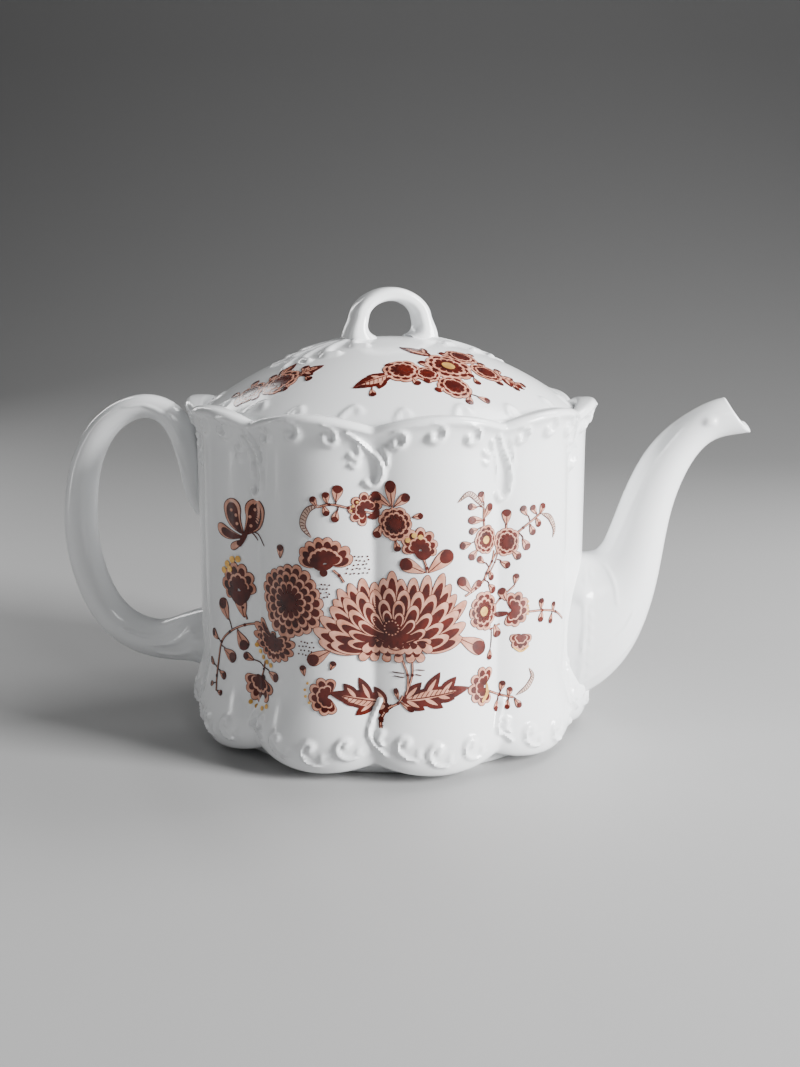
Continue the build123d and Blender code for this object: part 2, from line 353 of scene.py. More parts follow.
@dataclass(frozen=True)
class Wall:
    """The lobed outside of the body."""

    lobes: int = 10
    crest: float = 70.0
    groove: float = 3.6
    soften: float = 0.55
    rim_z: float = 120.0
    rim_notch: float = 3.6
    rim_flare: float = 3.8
    rim_flare_height: float = 14.0
    skirt_z: float = 2.0
    skirt_notch: float = 3.6
    skirt_flare: float = 3.1
    skirt_flare_z: float = 10.0
    skirt_flare_top: float = 30.0
    skirt_undercut: float = 4.6

    def crest_radius(self, z: Array) -> Array:
        """Radius of a lobe's crest at each height."""
        low = np.clip((self.skirt_flare_z - z) / (self.skirt_flare_z - self.skirt_z), 0, 1)
        swell = np.clip(
            (z - self.skirt_flare_z) / (self.skirt_flare_top - self.skirt_flare_z), 0, 1
        )
        radius = self.crest + self.skirt_flare * (1 + np.cos(np.pi * swell)) / 2
        radius = radius - self.skirt_undercut * (1 - np.sqrt(1 - low**2))
        up = np.clip((z - self.rim_z + self.rim_flare_height) / self.rim_flare_height, 0, 1)
        return radius + self.rim_flare * up**2

    def turn_in_lobe(self, angle: Array) -> Array:
        """Angle from the nearest lobe's middle, with the groove's bottom rounded."""
        pitch = 2 * np.pi / self.lobes
        turn = np.abs((angle + pitch / 2) % pitch - pitch / 2)
        soft = math.radians(self.soften)
        return pitch / 2 - np.sqrt((pitch / 2 - turn) ** 2 + soft**2) + soft * 0.2

    def radius(self, angle: Array, z: Array) -> Array:
        """Radius of the wall at each angle and height."""
        crest = self.crest_radius(z)
        groove = crest - self.groove
        half = np.pi / self.lobes
        side = groove * math.sin(half)
        rise = crest - groove * math.cos(half)
        arc = (side**2 + rise**2) / (2 * rise)
        centre = crest - arc
        turn = self.turn_in_lobe(angle)
        return centre * np.cos(turn) + np.sqrt(arc**2 - (centre * np.sin(turn)) ** 2)

    def notch(self, angle: Array) -> Array:
        """Share of the scallop's depth, 0 at a lobe's middle and 1 at a groove."""
        return (self.turn_in_lobe(angle) / (np.pi / self.lobes)) ** 2

    def angle(self, s: Array) -> Array:
        """Angle round the pot for a way s round the wall."""
        return np.asarray(s) / self.crest - np.pi / 2

    def point(self, s: Array, z: Array, height: Array) -> Array:
        """Place flat points over the wall."""
        angle = self.angle(s)
        radius = self.radius(angle, z) + height
        return np.stack([radius * np.cos(angle), radius * np.sin(angle), z], axis=1)


@dataclass
class Pot:
    """The body with its relief, scalloped rim, lid gallery, floor, foot and strainer."""

    wall: Wall = field(default_factory=Wall)
    thickness: float = 4.0
    seat_z: float = 114.2
    mouth: float = 57.0
    recess: float = 66.4
    ledge: float = 4.0
    slope: float = 6.0
    foot: float = 60.0
    foot_width: float = 5.0
    floor_z: float = 7.5
    lip: float = 2.4
    columns: int = 560
    strainer_z: float = 36.5
    strainer_x: float = 64.0
    strainer_rows: int = 5
    strainer_step: float = 6.4
    strainer_pitch: float = 7.0
    strainer_hole: float = 2.0
    strainer_bore: float = 10.0

    def rim_strokes(self) -> tuple[Stroke, ...]:
        """Curls that hang from the lip, for two lobes, and the scrolls in the grooves."""
        lines = []
        for left in (-44.0, 0.0):
            shift = left + (0.0 if left < 0 else 1.0)
            for at, top, size in ((7.0, 117.0, 0.9), (18.5, 118.2, 1.0), (30.5, 117.6, 1.0)):
                x = shift + at
                lines.append(
                    Stroke(
                        (
                            (x - 1.4, top),
                            (x + 1.2 * size, top - 0.8),
                            (x + 2.5 * size, top - 2.8 * size),
                            (x + 1.9 * size, top - 5.2 * size),
                            (x - 0.2, top - 6.2 * size),
                            (x - 1.7 * size, top - 5.4 * size),
                            (x - 1.6 * size, top - 4.2 * size),
                        ),
                        0.7,
                        1.15,
                        1.45,
                    )
                )
            lines.append(
                Stroke(
                    (
                        (left + 39.5, 113.0), (left + 39.8, 109.5), (left + 38.2, 107.6),
                        (left + 36.9, 108.6)
                    ),
                    0.9, 1.0, 1.2
                )
            )
            lines.append(
                Stroke(((left + 39.2, 106.5), (left + 38.0, 104.4), (left + 36.8, 105.2)), 0.9, 0.8, 1.0)
            )
        for x in (-44.0, 44.0):
            lines.append(
                Stroke(
                    (
                        (x - 2.0, 115.5), (x + 0.4, 111), (x + 2.9, 104), (x + 3.6, 98), (x + 2.2, 93.0),
                        (x - 0.2, 92.0), (x - 1.2, 93.4)
                    ),
                    1.0, 1.1, 1.6
                )
            )
            lines.append(Stroke(((x + 3.2, 113), (x + 4.6, 108), (x + 5.2, 102)), 1.0, 0.4, 0.8))
            lines.append(Stroke(((x - 2.4, 108), (x - 1.5, 103), (x - 1.2, 98)), 0.8, 0.4, 0.7))
        lines.append(
            Stroke(
                (
                    (-7.5, 116.2), (-3.0, 113.5), (0.9, 109.5), (2.8, 104.5), (2.2, 100), (-0.4, 97.8),
                    (-2.3, 99.2)
                ),
                0.9, 1.15, 1.6
            )
        )
        lines.append(Stroke(((3.6, 112), (4.6, 107.5), (4.0, 103)), 0.9, 0.4, 0.8))
        return tuple(lines)

    def foot_strokes(self) -> tuple[Stroke, ...]:
        """Scrolls along the base, for two lobes."""
        lines = []
        for x, top in ((-33.5, 13.6), (-21.0, 13.0), (-9.5, 14.4), (9.5, 15.6), (19.5, 13.4), (31.0, 13.8)):
            lines.append(
                Stroke(
                    (
                        (x + 0.6, top - 1.6),
                        (x + 1.6, top - 0.2),
                        (x - 0.2, top + 0.6),
                        (x - 1.8, top - 1.4),
                        (x - 1.6, top - 4.2),
                        (x + 0.8, top - 6.4),
                        (x + 4.2, top - 7.0),
                    ),
                    1.05,
                    0.45,
                    1.05,
                )
            )
            lines.append(
                Stroke(((x + 4.8, top - 3.4), (x + 4.4, top - 5.0), (x + 6.0, top - 6.4)), 0.7, 0.4, 0.5)
            )
        for x, tall in ((-44.0, 24.0), (0.0, 28.0), (44.0, 24.0)):
            lines.append(
                Stroke(
                    (
                        (x + 1.9, tall), (x - 0.2, tall - 5), (x - 1.4, tall - 11), (x + 0.6, 11.5),
                        (x + 3.6, 8.8)
                    ),
                    0.9, 0.8, 1.2
                )
            )
            lines.append(Stroke(((x + 2.4, 17.5), (x + 1.6, 14.5), (x + 3.0, 12.6)), 1.3, 0.6, 1.1))
        return tuple(lines)

    def profile(self) -> Array:
        """List the section: radius, height, lobe share, rim share, skirt share, relief share."""
        wall = self.wall
        rows: list[tuple[float, ...]] = []
        in_foot = self.foot - self.foot_width
        for radius, z in (
            (0, 2.6), (25, 2.5), (45, 2.4), (in_foot - 1.5, 2.4), (in_foot - 0.4, 2.0), (in_foot, 1.0),
            (in_foot + 0.5, 0.15), (in_foot + 1.2, 0), (self.foot - 1.2, 0), (self.foot - 0.3, 0.3),
            (self.foot, 1.2), (self.foot + 0.2, 2.4)
        ):
            rows.append((radius, z, 0, 0, 0, 0))
        rows.append((63.0, wall.skirt_z + 0.6, 0, 0, 0.4, 0))
        for inset, z in ((2.6, 0.35), (1.2, 0.0), (0.45, 0.12), (0.08, 0.6)):
            rows.append((-inset, wall.skirt_z + z, 1, 0, 1, 0))
        base = np.arange(3.2, 34, 0.72)
        plain = np.linspace(34, 88, 22)[1:-1]
        rim = np.arange(88, wall.rim_z - self.lip, 0.72)
        for z in np.concatenate([base, plain, rim]):
            rows.append((0, z, 1, float(ease(z, 96, 118)), 1 - float(ease(z, 3.5, 22)), 1))
        for turn in np.radians([8, 22, 36, 50, 64, 78, 90]):
            rows.append(
                (
                    -self.lip * (1 - math.cos(turn)), wall.rim_z - self.lip * (1 - math.sin(turn)), 1, 1, 0,
                    1 - turn / np.pi
                )
            )
        inner = self.recess
        for radius, drop in ((inner + 1.3, 0.0), (inner + 0.6, 0.25), (inner + 0.15, 0.7), (inner, 1.4)):
            rows.append((radius, wall.rim_z - drop, 0, 1, 0, 0))
        for radius, z in (
            (inner, self.seat_z + 1.5), (inner, self.seat_z + 0.3), (inner - 0.4, self.seat_z),
            (self.mouth + 0.6, self.seat_z), (self.mouth, self.seat_z - 0.6),
            (self.mouth, self.seat_z - self.ledge)
        ):
            rows.append((radius, z, 0, 0, 0, 0))
        low = self.seat_z - self.ledge - self.slope
        rows.append((61.0, low + 2.0, 0, 0, 0, 0))
        for z in (low, 90, 75, 60, 45, 30, 18):
            rows.append((-self.thickness, z, 1, 0, 0, 0))
        for inset, z in ((0.2, 13), (1.6, 9.8), (4.5, 8.0)):
            rows.append((-self.thickness - inset, z, 1, 0, 0, 0))
        for radius in (52, 30, 12, 0):
            rows.append((radius, self.floor_z, 0, 0, 0, 0))
        return np.array(rows)

    def build(self) -> bpy.types.Object:
        """Spin the section round the axis with its lobes, scallops and relief."""
        wall, rows = self.wall, self.profile()
        rim, foot = Relief(self.rim_strokes()), Relief(self.foot_strokes())
        repeat = 4 * np.pi * wall.crest / wall.lobes

        def surface(u: Array, v: Array) -> Array:
            """Points of the surface for shares u and v of the grid."""
            row = rows[np.rint(v * (len(rows) - 1)).astype(int)]
            angle = 2 * np.pi * (u % 1.0) - np.pi / 2
            lobe, raised = row[:, 2], row[:, 5]
            plain_z = np.where(lobe > 0, row[:, 1], wall.rim_z - self.lip)
            radius = np.where(lobe > 0, wall.radius(angle, plain_z) + row[:, 0], row[:, 0])
            s = (wall.crest * (angle + np.pi / 2) + repeat / 2) % repeat - repeat / 2
            z = row[:, 1]
            rise = np.where(raised > 0, raised * (rim.rise(s, z) + foot.rise(s, z)), 0)
            lip = np.exp(-(((z - wall.rim_z + 1.9) / 1.5) ** 2)) * 1.05 * raised
            share = wall.notch(angle)
            z = z - wall.rim_notch * row[:, 3] * share + wall.skirt_notch * row[:, 4] * share
            radius = radius + np.maximum(rise, lip)
            return np.stack([radius * np.cos(angle), radius * np.sin(angle), z], axis=1)

        piece = Modeller.warp("pot_shell", self.columns, len(rows) - 1, surface)
        tools = []
        for line in range(self.strainer_rows):
            z = self.strainer_z + (line - self.strainer_rows // 2) * self.strainer_step
            for share in (-1, 0, 1) if line % 2 == 0 else (-0.5, 0.5):
                tools.append(
                    Modeller.rod(
                        (self.strainer_x, share * self.strainer_pitch, z), self.strainer_hole,
                        self.strainer_bore, True
                    )
                )
        Modeller.cut(piece, tools)
        return piece


@dataclass
class Tube:
    """A round or oval limb in the pot's upright middle plane, luted on to the wall."""

    wall: Wall
    bury: float = 2.2

    @staticmethod
    def frames(stations: Array) -> tuple[Array, Array]:
        """Directions along a line of stations and square to it, in the x-z plane."""
        along = np.gradient(stations[:, :2], axis=0)
        along /= np.linalg.norm(along, axis=1)[:, None]
        return along, np.stack([-along[:, 1], along[:, 0]], axis=1)

    def trim(self, points: Array, side: float) -> Array:
        """Stop a limb inside the wall's thickness.

        Args:
            points: Points of the limb.
            side: 1 for a limb on the +x side and -1 for one on the other.

        Returns:
            The points, none of them nearer to the axis than the wall's middle.
        """
        angle = np.arctan2(points[:, 1], points[:, 0])
        least = self.wall.radius(angle, points[:, 2]) - self.bury
        short = (np.hypot(points[:, 0], points[:, 1]) < least) & (points[:, 2] < 118)
        x = side * np.sqrt(np.maximum(least**2 - points[:, 1] ** 2, 0))
        points[:, 0] = np.where(short | (points[:, 0] * side < 30), x, points[:, 0])
        return points


@dataclass
class Spout(Tube):
    """The spout: a broad root, a narrow neck and a turned lip, hollow to the strainer."""

    root_z: float = 36.5
    mouth_z: float = 114.0
    reach: float = 52.6
    bore: float = 3.0
    lip: float = 1.7
    columns: int = 128
    # Share of the reach, share of the rise, half height, half width and lean in degrees.
    stations: Path = (
        (-0.17, 0.0, 27.5, 19.0, 0.0),
        (0.0, 0.0, 27.3, 18.6, 0.0),
        (0.19, 0.085, 21.8, 15.6, 15.0),
        (0.30, 0.22, 15.4, 12.4, 33.0),
        (0.38, 0.44, 10.6, 10.2, 58.0),
        (0.445, 0.62, 9.0, 8.9, 67.0),
        (0.57, 0.81, 8.0, 7.9, 58.0),
        (0.695, 0.91, 6.8, 7.0, 42.0),
        (0.845, 0.98, 6.4, 6.3, 25.0),
        (1.0, 1.0, 7.8, 5.8, 38.0),
    )

    def relief(self) -> Relief:
        """Leaf ridges and the beaded border, drawn on the side view."""
        lines = [
            Stroke(((68.5, 17.0), (76.8, 22.1), (86.8, 30.7), (92.5, 39.5)), 1.3, 0.5, 0.75),
            Stroke(((68.5, 12.0), (78.6, 16.9), (88.0, 25.5)), 1.2, 0.6, 0.7),
            Stroke(((69.0, 27.6), (76.4, 31.6), (84.2, 37.6), (88.0, 44.0)), 1.2, 0.5, 0.6),
            Stroke(((71.2, 66.0), (70.4, 56.0), (70.2, 40.0), (69.6, 24.0), (69.0, 13.0)), 0.75, 0.75, 0.7),
            Stroke(((77.3, 62.8), (82.1, 71.8), (87.3, 84.5), (94.2, 98.7), (102.6, 109.3)), 1.1, 0.5, 0.5),
            Stroke(((73.0, 63.5), (77.0, 61.5), (80.5, 56.0), (82.0, 48.0)), 0.9, 0.5, 0.35),
            Stroke(((112.4, 112.2), (113.4, 112.3)), 1.6, 1.6, 0.9),
            Stroke(((69.6, 51.2), (69.8, 51.4)), 2.8, 2.8, 2.2),
        ]
        for i in range(11):
            z = 17.0 + 4.6 * i
            if abs(z - 51) > 4:
                lines.append(Stroke(((72.4, z), (72.5, z + 0.1)), 0.9, 0.9, 0.6))
        return Relief(tuple(lines))

    def build(self) -> bpy.types.Object:
        """Sweep the outside out to the lip and the bore back to the wall."""
        knots = np.array(self.stations)
        along = np.linspace(0, 1, 128)
        line = smooth_curve(
            np.column_stack(
                [
                    self.wall.crest + knots[:, 0] * self.reach,
                    self.root_z + knots[:, 1] * (self.mouth_z - self.root_z),
                    knots[:, 2:],
                ]
            ),
            along,
        )
        less = self.bore + (self.lip - self.bore) * along
        line = relax(line, 60)
        lip = np.repeat(line[-1:], 5, axis=0)
        lip_less = np.array([0.1, 0.35, 0.85, 1.35, 1.6])
        lip_out = np.array([0.3, 0.6, 0.75, 0.6, 0.3])
        back = line[::-2]
        rows = np.concatenate([line, lip, back, line[:1]])
        inset = np.concatenate([0 * along, lip_less, less[::-2], [0.0]])
        out = np.concatenate([0 * along, lip_out, 0 * less[::-2], [0.0]])
        share = np.concatenate([np.ones(len(line)), np.full(5, 0.0), np.zeros(len(back)), [1.0]])
        flare = np.exp(-(((1 - along) / 0.045) ** 1.5))
        near = np.concatenate([flare, np.ones(5), flare[::-2], flare[:1]])
        relief = self.relief()

        def surface(u: Array, v: Array) -> Array:
            """Points of the surface for shares u and v of the grid."""
            i = np.rint(v * (len(rows) - 1)).astype(int)
            row, turn = rows[i], 2 * np.pi * u
            lean = np.radians(row[:, 4])
            thick = inset[i] * (1 + 1.9 * near[i] * np.maximum(-np.sin(turn), 0) ** 2)
            up = (row[:, 2] - thick) * np.sin(turn)
            across = (row[:, 3] - inset[i]) * np.cos(turn)
            far = out[i] + near[i] * (
                0.6 * np.maximum(-np.sin(turn), 0) ** 3 - 0.8 * np.abs(np.cos(turn)) ** 1.6
            )
            up = up * (1 + 0.03 * near[i] * (np.sin(turn) < 0))
            x = row[:, 0] - np.sin(lean) * up + np.cos(lean) * far
            z = row[:, 1] + np.cos(lean) * up + np.sin(lean) * far
            rise = relief.rise(x, z) * share[i] * np.abs(np.cos(turn)) ** 0.5
            grow = rise / np.maximum(row[:, 3], 1)
            return self.trim(np.stack([x, across * (1 + grow), z], axis=1), 1.0)

        return Modeller.warp("spout_shell", self.columns, len(rows) - 1, surface)


@dataclass
class Handle(Tube):
    """The loop handle from its small upper root round to its spread lower root."""

    foot_z: float = 29.5
    top_z: float = 116.4
    reach: float = 45.5
    columns: int = 96
    # Share of the reach, share of the height, half thickness and half width.
    stations: Path = (
        (-0.02, 0.55, 3.0, 3.2),
        (0.035, 0.60, 3.4, 3.8),
        (0.055, 0.67, 4.0, 4.4),
        (0.07, 0.76, 4.8, 4.9),
        (0.12, 0.875, 5.2, 5.3),
        (0.235, 0.965, 4.7, 5.5),
        (0.40, 1.00, 4.2, 5.6),
        (0.60, 0.975, 4.4, 5.8),
        (0.79, 0.895, 4.9, 6.1),
        (0.935, 0.75, 5.5, 6.5),
        (0.995, 0.58, 6.0, 6.9),
        (1.00, 0.44, 6.1, 7.0),
        (0.95, 0.29, 6.1, 7.0),
        (0.85, 0.15, 6.2, 7.0),
        (0.70, 0.05, 6.5, 7.1),
        (0.50, -0.005, 6.9, 7.4),
        (0.30, -0.02, 7.6, 8.2),
        (0.10, 0.00, 9.6, 10.0),
        (-0.10, 0.00, 12.4, 12.4),
    )

    def relief(self) -> Relief:
        """Leaf sprays over both roots, drawn on the side view."""
        return Relief(
            (
                Stroke(((-73.0, 42.0), (-80.0, 33.5), (-90.0, 31.0), (-99.0, 33.5)), 1.3, 0.5, 0.9),
                Stroke(((-73.0, 34.0), (-80.0, 29.0), (-89.0, 27.5)), 1.2, 0.5, 0.9),
                Stroke(((-73.0, 26.0), (-79.0, 24.0), (-86.0, 24.5)), 1.1, 0.5, 0.8),
                Stroke(((-73.5, 19.5), (-78.0, 20.5), (-83.0, 22.5)), 1.0, 0.5, 0.7),
                Stroke(((-76.0, 104.0), (-80.0, 112.0), (-88.0, 116.5), (-96.0, 116.0)), 1.1, 0.5, 0.6),
                Stroke(((-75.5, 92.0), (-77.5, 99.0), (-81.0, 106.0)), 1.0, 0.5, 0.6),
            )
        )

    def build(self) -> bpy.types.Object:
        """Sweep the oval section from one root to the other."""
        knots = np.array(self.stations)
        middle = smooth_curve(
            np.column_stack(
                [
                    -self.wall.crest - knots[:, 0] * self.reach,
                    self.foot_z + knots[:, 1] * (self.top_z - self.foot_z),
                    knots[:, 2:],
                ]
            ),
            np.linspace(0, 1, 200),
        )
        middle = relax(middle, 40)
        _, square = self.frames(middle)
        rows = np.column_stack([middle, square])
        ends = rows[[0, -1]].copy()
        ends[:, 2:4] = 0
        rows = np.concatenate([ends[:1], rows, ends[1:]])
        relief = self.relief()

        def surface(u: Array, v: Array) -> Array:
            """Points of the surface for shares u and v of the grid."""
            row = rows[np.rint(v * (len(rows) - 1)).astype(int)]
            turn = 2 * np.pi * u
            up, across = row[:, 2] * np.sin(turn), row[:, 3] * np.cos(turn)
            x, z = row[:, 0] + row[:, 4] * up, row[:, 1] + row[:, 5] * up
            rise = relief.rise(x, z) * np.abs(np.cos(turn)) ** 0.5
            grow = rise / np.maximum(row[:, 3], 1)
            return self.trim(np.stack([x, across * (1 + grow), z], axis=1), -1.0)

        return Modeller.warp("handle_shell", self.columns, len(rows) - 1, surface)


@dataclass(frozen=True)
class Dome:
    """The upper face of the lid: a shallow sphere and a steeper shoulder."""

    radius: float = 65.6
    edge_z: float = 117.1
    rise: float = 24.2
    curve: float = 92.0
    crown: float = 30.0

    def height(self, radius: Array) -> Array:
        """Height of the dome at each radius."""
        top = self.edge_z + self.rise
        root = math.sqrt(self.curve**2 - self.crown**2)
        break_z = top - self.curve + root
        slope = self.crown / root
        run = self.radius - self.crown
        # The shoulder is the arc that leaves the crown along its slope and ends at the edge.
        down = break_z - self.edge_z
        unit = np.array([1.0, -slope]) / math.hypot(1, slope)
        normal = np.array([unit[1], -unit[0]])
        chord = np.array([run, -down])
        arc = chord.dot(chord) / (2 * chord.dot(normal))
        centre = np.array([self.crown, break_z]) + normal * arc
        shoulder = centre[1] + np.sqrt(np.maximum(arc**2 - (radius - centre[0]) ** 2, 0))
        crown = top - self.curve + np.sqrt(self.curve**2 - np.minimum(radius, self.crown) ** 2)
        return np.where(radius < self.crown, crown, shoulder)

    def point(self, x: Array, y: Array, height: Array) -> Array:
        """Place flat points over the dome."""
        return np.stack([x, y, self.height(np.hypot(x, y)) + height], axis=1)


@dataclass
class Lid:
    """The cover with its relief, flange and steam vent, and the ring it is lifted by."""

    dome: Dome = field(default_factory=Dome)
    thickness: float = 4.0
    seat_z: float = 114.2
    flange: float = 56.2
    flange_depth: float = 10.0
    flange_thickness: float = 3.4
    vent: float = 1.25
    vent_offset: float = 27.0
    turn: float = 26.0
    columns: int = 420
    hole_width: float = 19.8
    hole_height: float = 14.6
    ring_centre: float = 6.1
    crown: float = 3.9
    side: float = 5.0
    ring_width: float = 10.4
    tuck: float = 1.0
    ring_power: float = 0.7
    vent_z: float = 135.0
    vent_bore: float = 20.0
    curls: int = 20
    curl_root: float = 64.0
    curl_tip: float = 60.6

    def relief(self) -> Relief:
        """Leaf scrolls that run from the ring's feet, in the ring's own plan axes."""
        lines = []
        for side in (-1, 1):
            for flip in (-1, 1):
                lines += [
                    Stroke(
                        (
                            (side * 14.0, flip * 2.0), (side * 20.0, flip * 4.0), (side * 26.0, flip * 8.0),
                            (side * 28.5, flip * 13.5), (side * 25.5, flip * 16.0)
                        ),
                        3.0, 1.6, 1.3
                    ),
                    Stroke(
                        (
                            (side * 13.0, flip * 4.0), (side * 16.5, flip * 8.0),
                            (side * 18.0, flip * 13.0), (side * 15.0, flip * 15.5)
                        ),
                        2.4, 1.5, 1.2
                    ),
                    Stroke(
                        (
                            (side * 22.0, flip * 1.0), (side * 29.0, flip * 3.0), (side * 35.0, flip * 7.5),
                            (side * 34.5, flip * 12.0)
                        ),
                        2.3, 1.3, 1.1
                    ),
                    Stroke(
                        ((side * 28.0, flip * 2.0), (side * 36.0, flip * 3.0), (side * 41.5, flip * 6.5)),
                        1.6, 0.9, 0.9
                    ),
                ]
            lines.append(
                Stroke(
                    ((side * 15.5, 0), (side * 22.0, 0), (side * 29.0, 0), (side * 36.0, 0)), 4.0, 1.0, 1.4
                )
            )
        for i in range(self.curls):
            turn = 2 * np.pi * (i + 0.16 * math.sin(7 * i)) / self.curls
            lean = 0.05 + 0.012 * math.sin(3 * i)
            far, near = self.curl_root, self.curl_tip - 1.1 * (i % 2)
            lines.append(
                Stroke(
                    (
                        (far * math.cos(turn), far * math.sin(turn)),
                        (
                            (far + near) / 2 * math.cos(turn + lean * 0.3),
                            (far + near) / 2 * math.sin(turn + lean * 0.3)
                        ),
                        (near * math.cos(turn + lean), near * math.sin(turn + lean)),
                        (
                            (near + 1.6) * math.cos(turn + lean * 1.5),
                            (near + 1.6) * math.sin(turn + lean * 1.5)
                        ),
                    ),
                    0.8,
                    1.2,
                    0.7,
                )
            )
        return Relief(tuple(lines))

    def cover(self) -> bpy.types.Object:
        """Spin the dome and its underside, raise the relief and bore the vent."""
        dome, relief = self.dome, self.relief()
        steps = np.concatenate([[0.0, 1.5, 4, 7, 10], np.linspace(12, 64.6, 76)])
        rows = [(r, float(dome.height(np.array(r))), 1.0) for r in steps]
        edge = dome.edge_z
        rows += [
            (65.2, edge + 0.1, 0), (65.55, edge - 0.5, 0), (65.6, edge - 1.4, 0),
            (65.5, self.seat_z + 0.3, 0), (65.1, self.seat_z, 0)
        ]
        inner = self.flange - self.flange_thickness
        low = self.seat_z - self.flange_depth
        rows += [
            (self.flange + 0.4, self.seat_z, 0), (self.flange, self.seat_z - 0.5, 0),
            (self.flange, low + 0.8, 0), (self.flange - 0.8, low, 0), (inner + 0.8, low, 0),
            (inner, low + 0.8, 0)
        ]
        rows += [
            (
                r, float(dome.height(np.array(r))) - self.thickness, 0
            ) for r in (inner, 45.0, 36.0, 24.0, 12.0, 0.0)
        ]
        table = np.array(rows)
        turned = math.radians(self.turn)

        def surface(u: Array, v: Array) -> Array:
            """Points of the surface for shares u and v of the grid."""
            row = table[np.rint(v * (len(table) - 1)).astype(int)]
            angle = 2 * np.pi * u
            x, y = row[:, 0] * np.cos(angle), row[:, 0] * np.sin(angle)
            z = row[:, 1] + row[:, 2] * relief.rise(
                x * math.cos(turned) + y * math.sin(turned),
                y * math.cos(turned) - x * math.sin(turned),
            )
            return np.stack([x, y, z], axis=1)

        piece = Modeller.warp("lid_shell", self.columns, len(table) - 1, surface)
        way = turned + math.pi / 2
        place = (self.vent_offset * math.cos(way), self.vent_offset * math.sin(way), self.vent_z)
        Modeller.cut(piece, [Modeller.rod(place, self.vent, self.vent_bore, False)])
        return piece

    def ring(self) -> bpy.types.Object:
        """Carry a rounded band over the oval hole and spread it into the dome at both feet."""
        top = self.dome.edge_z + self.dome.rise
        centre_z = top + self.ring_centre
        turns = np.radians(np.linspace(-62, 242, 140))
        low = ease(-np.sin(turns), -0.15, 0.95)
        thick = self.side + (self.crown - self.side) * ease(np.sin(turns), 0.1, 1.0) + 5.5 * low + self.tuck
        inner_x, inner_z = self.hole_width / 2 - self.tuck, self.hole_height / 2 - self.tuck
        middle_x = (inner_x + thick / 2) * np.cos(turns) + np.sign(np.cos(turns)) * 2.4 * low
        middle_z = centre_z + (inner_z + thick / 2) * np.sin(turns)
        wide = self.ring_width / 2 + 1.6 * low - 0.2 * np.sin(turns)
        out = np.stack([np.cos(turns), np.sin(turns)], axis=1)
        rows = np.column_stack([middle_x, middle_z, thick / 2, wide, out])
        turned = math.radians(self.turn)

        def surface(u: Array, v: Array) -> Array:
            """Points of the surface for shares u and v of the grid."""
            share = v * (len(rows) + 1) - 1
            row = rows[np.clip(np.rint(share).astype(int), 0, len(rows) - 1)]
            shut = (share > -0.5) & (share < len(rows) - 0.5)
            turn = 2 * np.pi * u
            a = np.sign(np.sin(turn)) * np.abs(np.sin(turn)) ** self.ring_power * row[:, 2] * shut
            b = np.sign(np.cos(turn)) * np.abs(np.cos(turn)) ** self.ring_power * row[:, 3] * shut
            x, z = row[:, 0] + row[:, 4] * a, row[:, 1] + row[:, 5] * a
            z = np.maximum(z, self.dome.height(np.hypot(x, b)) - 2.0)
            return np.stack(
                [
                    x * math.cos(turned) - b * math.sin(turned),
                    x * math.sin(turned) + b * math.cos(turned), z
                ], axis=1
            )

        return Modeller.warp("lifting_ring", 64, len(rows) + 1, surface)


@dataclass
class Patch:
    """A painted stroke in flat coordinates.

    Args:
        line: The stroke's middle line, one row for each step.
        half: Half width at each step.
        height: How far the paint stands over the glaze.
        paint: Its colour.
    """

    line: Array
    half: Array
    height: float
    paint: Paint


